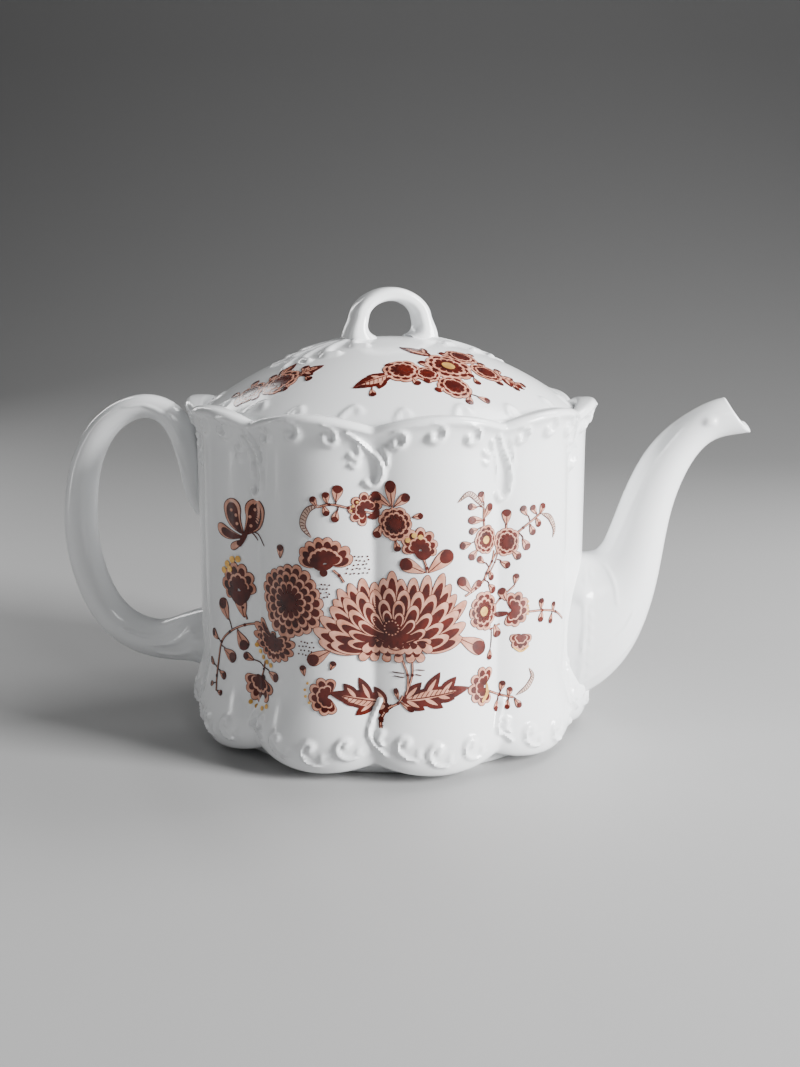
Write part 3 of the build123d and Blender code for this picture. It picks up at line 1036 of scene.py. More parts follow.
class Brush:
    """Lays painted motifs out flat and wraps them on to a surface."""

    def __init__(self, seed: int) -> None:
        """Start an empty sheet."""
        self.patches: list[Patch] = []
        self.seeds: list[tuple[float, float, float]] = []
        self.stalks: list[Array] = []
        self.chance = np.random.default_rng(seed)

    def ribbon(
        self, points: Path, half: Callable[[Array], Array], height: float, paint: Paint, steps: int = 0
    ) -> None:
        """Lay one stroke along a smooth line.

        Args:
            points: Knots of the line.
            half: Gives the half width for shares of the length.
            height: How far the stroke stands over the glaze.
            paint: Its colour.
            steps: Steps along the line, or 0 to choose by its length.
        """
        knots = np.array(points, float)
        length = np.linalg.norm(np.diff(knots, axis=0), axis=1).sum()
        steps = steps or int(np.clip(length / 0.55, 7, 30))
        share = (1 - np.cos(np.linspace(0, np.pi, steps + 1))) / 2
        self.patches.append(Patch(smooth_curve(knots, share), half(share), height, paint))

    def stroke(
        self, points: Path, width: float = 0.36, paint: Paint = Paint.MAROON, height: float = 0.10
    ) -> None:
        """Draw a thin line that fades at both ends."""
        self.ribbon(points, lambda t: width / 2 * (0.45 + 0.55 * np.sin(np.pi * t) ** 0.6), height, paint)

    def dot(
        self, x: float, y: float, radius: float, paint: Paint = Paint.MAROON, height: float = 0.16
    ) -> None:
        """Set down one round dot."""
        self.ribbon(
            ((x - radius, y), (x + radius, y)),
            lambda t: radius * np.sqrt(np.maximum(1 - (2 * t - 1) ** 2, 0)), height, paint, 8
        )

    @staticmethod
    def drop(width: float, full: float = 0.74, root: float = 0.16) -> Callable[[Array], Array]:
        """Give a teardrop's half width, rounded at its tip.

        Args:
            width: Full width at the widest place.
            full: Share of the length at which it's widest.
            root: Share of the width kept at the root.
        """

        def half(t: Array) -> Array:
            """Half width for shares of the length."""
            rise = root + (1 - root) * np.sin(np.clip(t / full, 0, 1) * np.pi / 2) ** 1.2
            fall = np.sqrt(np.maximum(1 - (np.maximum(t - full, 0) / (1 - full)) ** 2, 0))
            end = np.sqrt(np.clip(t / 0.05, 0, 1))
            return width / 2 * rise * fall * end

        return half

    def petal(
        self, root: Sequence[float], tip: Sequence[float], width: float, bend: float = 0.0,
        heart: float = 0.6, rim: float = 0.24, lift: float = 0.0
    ) -> None:
        """Paint a petal: dark outline, pale fill and a dark heart from its root.

        Args:
            root: Where it grows from.
            tip: Where it ends.
            width: Full width.
            bend: How far its middle bows to the left, as a share of its length.
            heart: Share of the length that the dark heart covers, or 0 for none.
            rim: Width of the outline.
            lift: How much higher it lies than the first layer of paint.
        """
        a, b = np.array(root, float), np.array(tip, float)
        way = b - a
        length = float(np.linalg.norm(way)) or 1e-6
        side = np.array([-way[1], way[0]]) / length
        knots = [a, a + way * 0.5 + side * bend * length, b]
        self.ribbon(knots, self.drop(width), 0.05 + lift, Paint.MAROON)
        inner = [a + way * min(1.3 * rim / length, 0.3), knots[1], b - way * min(rim / length, 0.3)]
        self.ribbon(inner, self.drop(max(width - 2 * rim, 0.4 * width)), 0.08 + lift, Paint.SALMON)
        if heart > 0:
            end = a + way * heart + side * bend * length * 4 * heart * (1 - heart)
            middle = a + way * heart / 2 + side * bend * length * 2 * heart * (1 - heart / 2)
            self.ribbon([a, middle, end], self.drop(0.66 * width), 0.11 + lift, Paint.MAROON)

    def bud(self, root: Sequence[float], tip: Sequence[float], width: float = 0.0) -> None:
        """Paint a closed bud with a pale bulb, a dark tip and a vein."""
        a, b = np.array(root, float), np.array(tip, float)
        way = b - a
        length = float(np.linalg.norm(way))
        wide = width or 0.62 * length
        self.petal(a, b, wide, 0.0, 0.0, 0.22, 0.03)
        self.ribbon(
            [b, a + way * 0.78, a + way * 0.52], self.drop(0.84 * wide, 0.42, 0.5), 0.15, Paint.MAROON
        )
        self.stroke([a, a + way * 0.3, a + way * 0.55], 0.3, height=0.15)

    def seed(self, x: float, y: float, size: float = 2.6) -> None:
        """Keep a place for a bud, which grows from the nearest stalk."""
        self.seeds.append((x, y, 1.22 * size))

    def grow(self) -> None:
        """Paint every kept bud, turned away from its stalk and joined to it."""
        if not self.seeds:
            return
        for x, y, size in self.seeds:
            spot = np.array([x, y])
            turn = self.chance.uniform(0.9, 2.2)
            way = np.array([math.cos(turn), math.sin(turn)])
            if self.stalks:
                line = np.concatenate(self.stalks)
                gaps = np.linalg.norm(line - spot, axis=1)
                near = line[gaps.argmin()]
                if 0.3 < gaps.min() < 9:
                    way = (spot - near) / gaps.min()
                    self.stroke([near, (near + spot) / 2 + 0.3, spot - way * 0.4 * size], 0.42, height=0.06)
            self.bud(spot - way * 0.62 * size, spot + way * 0.62 * size, 0.84 * size)
        self.seeds.clear()

    def aster(
        self, x: float, y: float, radius: float, count: int = 12, gold: bool = False, flat: float = 1.0
    ) -> None:
        """Paint an open flower seen from the front.

        Args:
            x: Way round to its middle.
            y: Height of its middle.
            radius: From its middle to its petals' tips.
            count: Number of petals.
            gold: Whether its heart is gold.
            flat: Height as a share of its width.
        """
        for ring, far, near in ((0, 1.0, 0.45), (1, 0.72, 0.25)):
            for i in range(count):
                turn = 2 * np.pi * (i + 0.5 * ring) / count
                reach = radius * far * self.chance.uniform(0.94, 1.05)
                c, s = math.cos(turn), math.sin(turn) * flat
                self.petal(
                    (x + near * radius * c, y + near * radius * s),
                    (x + reach * c, y + reach * s),
                    2 * np.pi * reach / count * 0.96,
                    0.0,
                    0.72,
                    0.18,
                    0.07 * ring,
                )
        self.dot(x, y, 0.36 * radius, Paint.MAROON, 0.24)
        if gold:
            self.dot(x, y, 0.27 * radius, Paint.GOLD, 0.28)
        for i in range(9):
            turn = 2 * np.pi * i / 9
            self.dot(
                x + 0.46 * radius * math.cos(turn), y + 0.46 * radius * math.sin(turn) * flat,
                0.05 * radius + 0.08, Paint.MAROON, 0.27
            )

    def fan(
        self, heart: Sequence[float], tips: Path, width: float, layers: Sequence[float] = (1.0, 0.66)
    ) -> None:
        """Paint petals from one heart to many tips, in layers that get shorter.

        Args:
            heart: Where every petal grows from.
            tips: Ends of the outermost petals, from one side to the other.
            width: Width of the outermost petals.
            layers: Length of each layer as a share of the outermost.
        """
        x, y = heart
        for layer, share in enumerate(layers):
            ends = [np.array(tip[:2], float) for tip in tips]
            if layer % 2:
                ends = [(p + q) / 2 for p, q in zip(ends[:-1], ends[1:])]
            for end in ends:
                way = (end - np.array([x, y])) * share
                start = np.array([x, y]) + way * 0.12
                lean = -0.10 * np.sign(way[0]) * min(1.0, abs(way[0]) / 8)
                self.petal(
                    start, np.array([x, y]) + way, width * (0.5 + 0.5 * share), lean, 0.82, 0.2,
                    0.065 * layer
                )

    def grass(self, points: Path, width: float = 2.0) -> None:
        """Paint a bent blade with an outline and cross hatching."""
        self.ribbon(
            points, lambda t: width / 2 * np.sin(np.pi * np.clip(t, 0.001, 1)) ** 0.7, 0.05, Paint.MAROON
        )
        self.ribbon(
            points,
            lambda t: np.maximum(width / 2 - 0.26, 0.1) * np.sin(np.pi * np.clip(t, 0.001, 1)) ** 1.1, 0.09,
            Paint.PALE
        )
        line = smooth_curve(np.array(points, float), np.linspace(0.12, 0.88, 12))
        way = np.gradient(line, axis=0)
        way /= np.linalg.norm(way, axis=1)[:, None]
        for i in range(0, 12):
            side = np.array([-way[i, 1], way[i, 0]]) * width * 0.34 * math.sin(math.pi * (0.12 + 0.069 * i))
            self.stroke([line[i] - side, line[i], line[i] + side + way[i] * 0.3], 0.22, height=0.13)

    def leaf(self, base: Sequence[float], tip: Sequence[float], lobes: Path, width: float) -> None:
        """Paint a serrated leaf with pale flesh, dark veins and pointed lobes.

        Args:
            base: Where the stalk meets it.
            tip: Its point.
            lobes: Points of its side lobes.
            width: Full width of its body.
        """
        a, b = np.array(base, float), np.array(tip, float)
        way = b - a
        length = float(np.linalg.norm(way))
        side = np.array([-way[1], way[0]]) / length

        def blade(wide: float) -> Callable[[Array], Array]:
            """Half-width profile of the leaf for one width."""
            return lambda t: wide / 2 * np.sin(np.pi * np.clip(t, 0, 1) ** 0.8) ** 0.8

        self.ribbon([a, (a + b) / 2, b], blade(width), 0.05, Paint.MAROON)
        for lobe in lobes:
            end = np.array(lobe, float)
            share = np.clip(np.dot(end - a, way) / length**2 - 0.26, 0.05, 0.8)
            start = a + way * share
            self.ribbon([start, (start + end) / 2, end], blade(0.62 * width), 0.07, Paint.MAROON)
            self.ribbon(
                [start + (end - start) * 0.1, start + (end - start) * 0.4, start + (end - start) * 0.72],
                blade(0.20 * width),
                0.12,
                Paint.SALMON,
            )
        inner = [a + way * 0.08, a + way * 0.45 + side * 0.12 * width, a + way * 0.8]
        self.ribbon(inner, blade(0.42 * width), 0.13, Paint.SALMON)
        self.stroke([a, (a + b) / 2, b], 0.4, height=0.18)
        for i in range(int(length / 1.6)):
            start = a + way * (0.14 + 1.5 * i / length)
            if 0.14 + 1.5 * i / length < 0.75:
                self.stroke(
                    [
                        start, start + side * 0.15 * width + way * 0.03,
                        start + side * 0.3 * width + way * 0.07
                    ],
                    0.24, height=0.17
                )

    def stem(self, points: Path, width: float = 0.78) -> None:
        """Paint a stalk as a dark line with a pale core and little nodes."""
        self.stalks.append(smooth_curve(np.array(points, float), np.linspace(0, 1, 40)))
        self.ribbon(points, lambda t: width / 2 + 0 * t, 0.07, Paint.MAROON)
        self.ribbon(points, lambda t: width * 0.16 + 0 * t, 0.11, Paint.SALMON)
        for x, y in points[1:-1]:
            self.dot(x, y, width * 0.72, Paint.MAROON, 0.12)

    def speckle(self, low: Sequence[float], high: Sequence[float], pitch: float = 1.25) -> None:
        """Fill a patch with staggered dots, a little uneven."""
        for j, y in enumerate(np.arange(low[1], high[1], pitch)):
            for x in np.arange(low[0] + (j % 2) * pitch / 2, high[0], pitch):
                across, up = self.chance.uniform(-0.25, 0.25, 2)
                self.dot(x + across, y + up, 0.27, Paint.MAROON, 0.04)

    def build(self, name: str, wrap: Callable[[Array, Array, Array], Array]) -> bpy.types.Object:
        """Make the sheet: strokes as thin closed strips, wrapped on to the surface.

        Args:
            name: Name of the piece.
            wrap: Gives points in millimetres for flat x, flat y and a height.

        Returns:
            The piece, with one material slot for each paint.
        """
        self.grow()
        points, faces, paints, heights = [], [], [], []
        across = np.array([-1.0, -0.55, 0.0, 0.55, 1.0])
        for patch in self.patches:
            way = np.gradient(patch.line, axis=0)
            way /= np.maximum(np.linalg.norm(way, axis=1), 1e-9)[:, None]
            side = np.stack([-way[:, 1], way[:, 0]], axis=1)
            half = np.maximum(patch.half, 0.02)
            width = across if patch.half.max() > 0.9 else across[::2]
            first, n = len(points), len(width)
            for centre, reach, out in zip(patch.line, half, side):
                for share in width:
                    points.append(centre + out * reach * share)
                    heights.append(patch.height - 0.012 * share * share)
            for i in range(len(patch.line) - 1):
                for j in range(n - 1):
                    at = first + i * n + j
                    faces.append((at, at + n, at + n + 1, at + 1))
                    paints.append(patch.paint.value)
        flat = np.array(points)
        mesh = bpy.data.meshes.new(name)
        spots = np.column_stack([flat, heights])
        mesh.from_pydata((spots * MM).tolist(), [], faces)
        mesh.polygons.foreach_set("material_index", paints)
        piece = bpy.data.objects.new(name, mesh)
        bpy.context.collection.objects.link(piece)
        Modeller.pick(piece)
        for paint in Paint:
            mesh.materials.append(bpy.data.materials[f"enamel_{paint.name.lower()}"])
        thicken = piece.modifiers.new("body", "SOLIDIFY")
        thicken.thickness = 0.16 * MM
        thicken.offset = 1
        bpy.ops.object.modifier_apply(modifier=thicken.name)
        spots = Modeller.points(piece) / MM
        top = spots[:, 2]
        Modeller.place(piece, wrap(spots[:, 0], spots[:, 1], top))
        bpy.ops.object.mode_set(mode="EDIT")
        bpy.ops.mesh.select_all(action="SELECT")
        bpy.ops.mesh.normals_make_consistent(inside=False)
        bpy.ops.object.mode_set(mode="OBJECT")
        bpy.ops.object.shade_smooth_by_angle(angle=math.radians(50))
        return piece


class Bouquet:
    """The flowers painted on the body's front, in millimetres round the wall and up it."""

    @staticmethod
    def main_flowers() -> Brush:
        """Paint the half-open chrysanthemum, the round one and the folded one."""
        brush = Brush(1)
        for lift, width, tips in (
            (
                0.0, 4.0,
                (
                    (-13, 61.5), (-11.5, 65), (-8, 66.8), (-4, 68.4), (0, 67), (3.2, 68.5), (6, 71),
                    (9, 68.5), (13, 69), (17.5, 69.8), (22.5, 70.2), (24.8, 66.5), (26.8, 63), (30.5, 60.5)
                )
            ),
            (
                0.07, 4.6,
                (
                    (-18, 47.5), (-19.8, 51.5), (-17.5, 55.5), (-14, 59), (-9.5, 62), (-4.8, 64),
                    (0.2, 64.6), (5, 65.4), (10, 65), (14.8, 64.6), (19.5, 63.4), (23.8, 60.6),
                    (27.6, 57.4), (30.2, 53.2), (29, 48.6)
                )
            ),
            (
                0.14, 4.3,
                (
                    (-14, 46.8), (-14.6, 50.5), (-12, 54.6), (-7.8, 58), (-2.6, 60.4), (3, 61.6),
                    (8.4, 61.6), (13.6, 60), (18.4, 57.2), (22.4, 53.6), (24.4, 49.4)
                )
            ),
            (
                0.21, 3.4,
                (
                    (-8.6, 47.4), (-8.2, 51), (-5, 54.4), (-0.6, 57), (4, 58.2), (8.6, 57.6), (13, 55.2),
                    (16.6, 51.8), (18.6, 48.2)
                )
            ),
        ):
            for x, z in tips:
                way = np.array([x - 6.5, z - 49.5])
                lean = -0.15 * np.sign(way[0]) * min(1.0, abs(way[0]) / 9)
                brush.petal(
                    (6.5 + 0.1 * way[0], 49.5 + 0.1 * way[1]), (x, z), width, lean, 0.88, 0.22, lift
                )
        for x, y, w in (
            (-1.5, 44.8, 2.4), (1, 44.6, 2.4), (3.5, 44.4, 2.4), (6, 44.3, 2.4), (8.6, 44.3, 2.4),
            (11, 44.5, 2.4), (13.5, 44.8, 2.4), (16.5, 45.3, 2.4)
        ):
            brush.petal(
                (7.2 + (x - 7.2) * 0.72, 48.2), (7.2 + (x - 7.2) * 1.25, y - 0.6), w + 0.8, 0, 0.55, 0.22,
                0.3
            )
        for x, y in ((-2, 42), (1, 41.6), (4.5, 41.4), (8, 41.4), (11.3, 41.6), (14, 42)):
            brush.petal((7 + (x - 7) * 0.8, 45.4), (7 + (x - 7) * 1.3, y - 0.4), 3.2, 0, 0.55, 0.22, 0.24)
        brush.ribbon(
            ((1.0, 49.6), (6.5, 48.6), (12.5, 49.8)), brush.drop(4.0, 0.5, 0.4), 0.33, Paint.MAROON
        )
        brush.ribbon(
            ((0.5, 48.4), (7.0, 45.4), (14.5, 48.6)), brush.drop(3.0, 0.5, 0.4), 0.36, Paint.SALMON
        )
        brush.stroke(((0.5, 48.8), (7.0, 46.6), (14.5, 49.0)), 0.7, height=0.4)
        brush.stroke(((1.8, 47.6), (7.0, 45.2), (13.2, 47.8)), 0.4, height=0.4)
        brush.dot(5.8, 52.4, 3.1, Paint.MAROON, 0.36)
        for i in range(13):
            turn = 2 * math.pi * i / 13
            brush.dot(5.8 + 2.3 * math.cos(turn), 52.4 + 2.3 * math.sin(turn), 0.22, Paint.SALMON, 0.4)
        brush.stem(((9.5, 41.5), (11, 37), (11, 32)), 0.7)
        brush.stem(((12.5, 42), (12.5, 37), (10.5, 30.5)), 0.7)
        for a, b in (
            ((6, 37.9), (10, 37.5)), ((6.5, 36.6), (10, 36.1)), ((13.5, 38.8), (16.5, 38.6)),
            ((13.5, 37.3), (15.5, 36.8))
        ):
            brush.stroke((a, b), 0.32)
        for layer, (far, near, count, width) in enumerate(
            ((12.4, 6.5, 20, 3.9), (9.6, 4.6, 17, 3.5), (6.7, 2.2, 13, 3.1))
        ):
            for i in range(count):
                turn = 2 * math.pi * (i + 0.5 * (layer % 2)) / count
                reach = far * (1 + 0.05 * math.sin(5 * i))
                c, s = math.cos(turn), math.sin(turn)
                brush.petal(
                    (-28.5 + near * c, 59.5 + near * s), (-28.5 + reach * c, 59.5 + reach * s), width, 0.06,
                    0.78, 0.22, 0.07 * layer
                )
        brush.dot(-28.5, 59.5, 3.0, Paint.MAROON, 0.3)
        brush.fan(
            (-15.5, 72.5),
            (
                (-24.5, 74.5), (-24, 77.5), (-21.5, 79.8), (-18, 81.4), (-14.5, 81.6), (-11.5, 80.4),
                (-8, 78.6), (-6.8, 75.6)
            ),
            3.8
        )
        brush.dot(-13.5, 76, 1.0)
        brush.dot(-11.5, 74.6, 0.9)
        brush.ribbon(((-21, 73.5), (-17, 71.6), (-13, 72.4)), brush.drop(2.2, 0.5, 0.3), 0.14, Paint.MAROON)
        brush.dot(-16, 70, 1.3)
        brush.stem(((-13, 71), (-11, 69.3), (-9.5, 67)))
        brush.seed(-32, 75.5, 3.0)
        return brush

    @staticmethod
    def upper_sprig() -> Brush:
        """Paint the sprig over the main flowers."""
        brush = Brush(2)
        brush.grass(((-17, 91.7), (-21, 90), (-23, 85), (-20, 81)), 2.4)
        brush.stem(((-18, 91), (-14, 92), (-8, 91), (0, 89)))
        brush.stem(((0, 89), (5, 87), (12, 84)))
        brush.stem(((6.6, 82), (6.5, 86), (6, 92)), 0.6)
        for x, y, size in (
            (-19, 92.7, 2.4), (-15, 94, 2.6), (-15.3, 90, 2.4), (-11.5, 95.5, 3.6), (-12, 88.3, 2.6),
            (1.5, 83.5, 3.0), (7.5, 79, 2.4)
        ):
            brush.seed(x, y, size)
        brush.fan(
            (-2.4, 90.2),
            ((2.6, 92.6), (0.4, 95.2), (-3.2, 96), (-6.6, 94.2), (-8.2, 90.8), (-7.4, 87.4), (-4.2, 85.2)),
            3.0
        )
        for x, y in ((-7.2, 90), (-6.5, 91.5), (-5.2, 92.8)):
            brush.dot(x, y, 0.4, Paint.GOLD, 0.2)
        brush.ribbon(((-2, 88), (0.5, 88.4), (1.4, 91)), brush.drop(2.4, 0.5, 0.3), 0.14, Paint.MAROON)
        brush.bud((6, 91.5), (5.3, 99.8), 3.8)
        brush.bud((5.6, 91.5), (-0.6, 95.6), 3.2)
        brush.bud((6.6, 91.5), (11.4, 95.4), 3.2)
        brush.aster(7, 86, 5.6, 11)
        brush.bud((12.3, 88.3), (15.8, 88.8), 2.2)
        brush.fan(
            (15.0, 77.5),
            (
                (9.2, 78.6), (9.4, 82.0), (11.6, 84.4), (15.0, 85.2), (18.4, 83.8), (20.2, 80.6),
                (20.2, 77.6)
            ),
            3.2
        )
        for x, y in ((11, 81), (13, 82.5), (15, 82)):
            brush.dot(x, y, 0.8, Paint.GOLD, 0.24)
        brush.ribbon(((13, 77.5), (16, 76), (18.5, 77.8)), brush.drop(3.0, 0.5, 0.3), 0.14, Paint.MAROON)
        brush.stem(((15.8, 75.5), (17, 72), (17.2, 70.5)))
        brush.bud((16.6, 70.5), (8.6, 74.0), 4.6)
        brush.bud((17.4, 70.5), (25.2, 77.0), 5.2)
        return brush

    @staticmethod
    def right_sprig() -> Brush:
        """Paint the sprigs to the right of the main flowers."""
        brush = Brush(3)
        brush.grass(((37, 90), (35, 92), (31, 95), (27, 92.5)), 1.9)
        for x, y, size in (
            (36, 93.5, 2.6), (32.5, 90.7, 2.4), (33, 83, 2.4), (30, 78.7, 2.8), (33, 75.3, 2.8),
            (46.8, 86, 3.4),
            (53.3, 87.5, 2.6), (56.5, 81, 2.6), (57.2, 87.5, 2.4), (59, 83.3, 2.4), (60.8, 87.5, 2.6),
            (54, 76.5, 3.0),
            (50.5, 73.3, 2.8), (36, 73, 2.4), (46.5, 70.5, 2.6), (40.5, 67.5, 2.4), (46, 60.3, 3.2),
            (43.5, 48.5, 3.2),
            (61.5, 55.3, 2.6), (61.5, 51, 2.6), (68.5, 53, 2.4), (67, 49.3, 2.4), (40.5, 41, 2.4),
        ):
            brush.seed(x, y, size)
        brush.bud((37, 86.5), (40.4, 91), 2.8)
        brush.bud((37, 86), (30.8, 86.6), 2.8)
        brush.stem(((37, 90), (37, 86), (38, 80)))
        brush.stem(((30, 62), (37.5, 66.5), (41, 72), (46.5, 79), (46.8, 84)), 0.7)
        brush.aster(38, 79.5, 4.8, 10, True)
        brush.aster(47, 77.8, 4.8, 10)
        brush.stem(((50, 80), (53, 82), (60, 86)))
        brush.grass(((60.5, 86), (65, 84), (67.8, 79.5), (67, 77)), 2.2)
        brush.stem(((42, 75.5), (41, 72), (38.5, 68.5), (37.5, 66.5)))
        brush.stem(((44.5, 75.5), (42.5, 71.5), (40, 68.5)), 0.5)
        brush.bud((32.5, 62.8), (27.6, 68.2), 3.6)
        brush.bud((32, 63.5), (36.2, 66.2), 2.8)
        brush.stem(((37.5, 66.5), (34, 64), (30, 62)))
        brush.aster(37.5, 56, 5.8, 10, True, 1.15)
        brush.stem(((42, 56), (45, 59), (50, 63)), 0.6)
        brush.stem(((38, 51), (41, 49.5), (45, 50.5)), 0.6)
        brush.seed(41, 63.2, 2.8)
        brush.seed(50.5, 65.2, 2.4)
        brush.ribbon(((42.5, 54.2), (44.6, 53.8), (48, 54)), brush.drop(2.0, 0.4, 0.4), 0.14, Paint.MAROON)
        brush.fan(
            (48.5, 54.8),
            (
                (48.8, 60.8), (52.4, 60.6), (55.2, 58.0), (56.0, 54.6), (54.8, 51.2), (51.6, 49.2),
                (48.2, 49.4)
            ),
            3.4
        )
        for y in (52.8, 54.2, 55.6, 57.0):
            brush.dot(55.4, y, 0.42, Paint.GOLD, 0.2)
        brush.stem(((56, 53.5), (62, 53), (70, 51), (77, 47)))
        brush.fan((53, 46.5), ((48.6, 44.8), (49.8, 41.8), (52.4, 40.4), (55.2, 41.2), (57.2, 43.8)), 3.0)
        brush.stroke(((50, 42), (53, 40.3), (56.2, 41.8)), 0.6, Paint.GOLD, 0.2)
        brush.bud((27.5, 48.6), (38, 43), 5.6)
        brush.bud((-14, 44.6), (-21.8, 40), 4.6)
        brush.seed(-23.5, 37, 2.4)
        brush.seed(-13.5, 39.5, 2.2)
        return brush

    @staticmethod
    def lower_spray() -> Brush:
        """Paint the leaves and side flowers under the main flowers."""
        brush = Brush(4)
        brush.fan(
            (-14.5, 29),
            (
                (-14.0, 35.2), (-18, 35.2), (-21, 32.4), (-21.8, 28.8), (-20.4, 25.2), (-17.0, 23),
                (-13.4, 23.4)
            ),
            3.6
        )
        for x, y in ((-22, 33), (-23, 30.7), (-22.8, 28.5), (-21.4, 26.6)):
            brush.dot(x, y, 0.45, Paint.GOLD, 0.2)
        brush.leaf(
            (5, 26.5), (-15, 30.5),
            ((-10, 33.7), (-5, 35.7), (0, 32.4), (-10, 27.3), (-6, 23.3), (0, 24.3)), 6.0
        )
        brush.leaf(
            (9, 28.5), (32, 31.5),
            ((21.5, 37.7), (27, 35.7), (15.5, 34.6), (26.5, 28.3), (22.5, 25.8), (16.5, 25.4)), 6.2
        )
        brush.bud((8, 28.5), (7, 32.5), 1.8)
        brush.bud((8.5, 28), (13, 25), 1.9)
        brush.stem(((5, 26), (8, 27.5), (9.5, 30)), 0.8)
        brush.stem(((6, 26.6), (4, 25), (2.3, 22), (2.5, 17.5)), 1.3)
        for y in (18.5, 19.8, 21.1, 22.4, 23.7):
            brush.stroke(((1.7, y), (3.2, y + 0.25)), 0.36, height=0.15)
        brush.fan(
            (38.5, 30.5),
            (
                (40.5, 36.8), (36.6, 37.4), (33.0, 34.8), (31.4, 30.8), (32.8, 26.8), (36.2, 24.4),
                (39.8, 24.8)
            ),
            3.6
        )
        brush.ribbon(((39.2, 31.6), (39.4, 28.5), (37, 25.5)), brush.drop(1.5, 0.5, 0.4), 0.18, Paint.GOLD)
        brush.stem(((40.5, 28.5), (45, 26.5), (50, 25)))
        for x, y, size in (
            (46, 29.3, 2.4), (43.5, 23, 2.4), (48.7, 27, 2.2), (47.5, 23, 2.2), (51.3, 23.0, 2.4)
        ):
            brush.seed(x, y, size)
        brush.grass(((51, 25.5), (56, 28), (58, 31), (56.5, 34)), 1.9)
        brush.speckle((-9, 70), (-1, 76), 1.35)
        brush.speckle((-17.5, 62), (-13.5, 67), 1.35)
        brush.speckle((-25, 42.5), (-19.5, 47), 1.35)
        return brush

    @staticmethod
    def left_spray() -> Brush:
        """Paint the butterfly and the flowers on the left."""
        brush = Brush(5)
        brush.petal((-50, 79), (-55, 90.5), 8.0, 0.12, 0.9, 0.35)
        brush.petal((-49, 79), (-43.8, 91), 9.4, -0.12, 0.9, 0.35)
        brush.petal((-50, 77.8), (-62.5, 80.4), 4.4, 0.06, 0.8, 0.3)
        brush.petal((-49.5, 77), (-55.5, 73.5), 2.8, 0.0, 0.5, 0.3)
        brush.ribbon(
            ((-51.5, 74.5), (-49.5, 78), (-47.8, 81)), brush.drop(2.0, 0.5, 0.4), 0.18, Paint.MAROON
        )
        brush.stroke(((-48, 80.3), (-44, 79.5), (-40, 76)), 0.32)
        brush.stroke(((-48, 80), (-46, 79.5), (-44, 77.3)), 0.32)
        for x, y in (
            (-54.6, 86.5), (-52.6, 85.0), (-44.8, 87.5), (-46.8, 85.0), (-52.2, 82.2), (-46.5, 82.0)
        ):
            brush.dot(x, y, 0.55, Paint.SALMON, 0.2)
        brush.fan(
            (-52.2, 59.5),
            (
                (-58.6, 58.5), (-60.2, 62.4), (-58.2, 66.2), (-54.6, 69), (-50.4, 68.8), (-46.8, 66),
                (-45.4, 61.8)
            ),
            4.2
        )
        for x, y in ((-59.2, 65.6), (-57.4, 68.0), (-54.9, 69.8), (-52.2, 70.2), (-56.2, 66.4)):
            brush.dot(x, y, 1.15, Paint.GOLD, 0.26)
        brush.ribbon(
            ((-57.0, 59.8), (-52, 57), (-47.4, 60.0)), brush.drop(4.6, 0.5, 0.3), 0.24, Paint.MAROON
        )
        brush.bud((-50, 50.5), (-52.3, 58.0), 5.2)
        brush.stem(((-51.8, 58.5), (-50.5, 54), (-49, 50)), 0.7)
        brush.stem(((-43, 49.5), (-50, 48), (-57, 44.5), (-62, 40), (-64.5, 33)), 0.8)
        for x, y, size in (
            (-59.5, 52, 5.2), (-51.5, 42.6, 4.8), (-57.5, 36.5, 4.4), (-66.5, 41.5, 3.4), (-70, 31, 2.8),
            (-62, 28.5, 3.0), (-36.5, 33, 3.4), (-48.6, 37, 3.0), (-69, 23.5, 2.0), (-62.5, 22.0, 2.0)
        ):
            brush.seed(x, y, size)
        brush.stem(((-64.5, 33), (-66, 27), (-65, 22)), 0.9)
        brush.fan(
            (-36, 45.5),
            (
                (-46, 49.5), (-46.5, 46), (-45.5, 42.5), (-42, 40), (-39, 38.4), (-36, 37.6), (-33, 38.2),
                (-29.5, 39.5), (-27, 42), (-26.3, 45.5), (-28.5, 48), (-43, 51.5)
            ),
            3.0
        )
        brush.fan(
            (-36, 45.5), ((-41, 47.5), (-41, 44), (-38.5, 42), (-35.5, 41.5), (-32.5, 42.5), (-31, 45)), 2.4
        )
        brush.dot(-36, 45.8, 1.7, Paint.MAROON, 0.18)
        for x, y in ((-45.2, 41.8), (-43.7, 39.8), (-41.9, 38.2), (-39.8, 37.0), (-37.6, 36.3)):
            brush.dot(x, y, 0.8, Paint.GOLD, 0.24)
        brush.fan(
            (-43.5, 31.5),
            ((-50.5, 29.5), (-49.6, 25.6), (-46.8, 22.8), (-43, 21.8), (-39.4, 23.2), (-36.8, 27)), 3.8
        )
        brush.ribbon(
            ((-45.5, 31.5), (-43.5, 30), (-41.5, 31.8)), brush.drop(2.6, 0.5, 0.3), 0.14, Paint.MAROON
        )
        brush.stem(((-43.3, 31), (-42, 34), (-41, 37)), 0.7)
        for x, y in ((-47.2, 22.0), (-44.6, 20.9), (-41.8, 20.8), (-39.4, 22.0)):
            brush.dot(x, y, 0.8, Paint.GOLD, 0.24)
        return brush

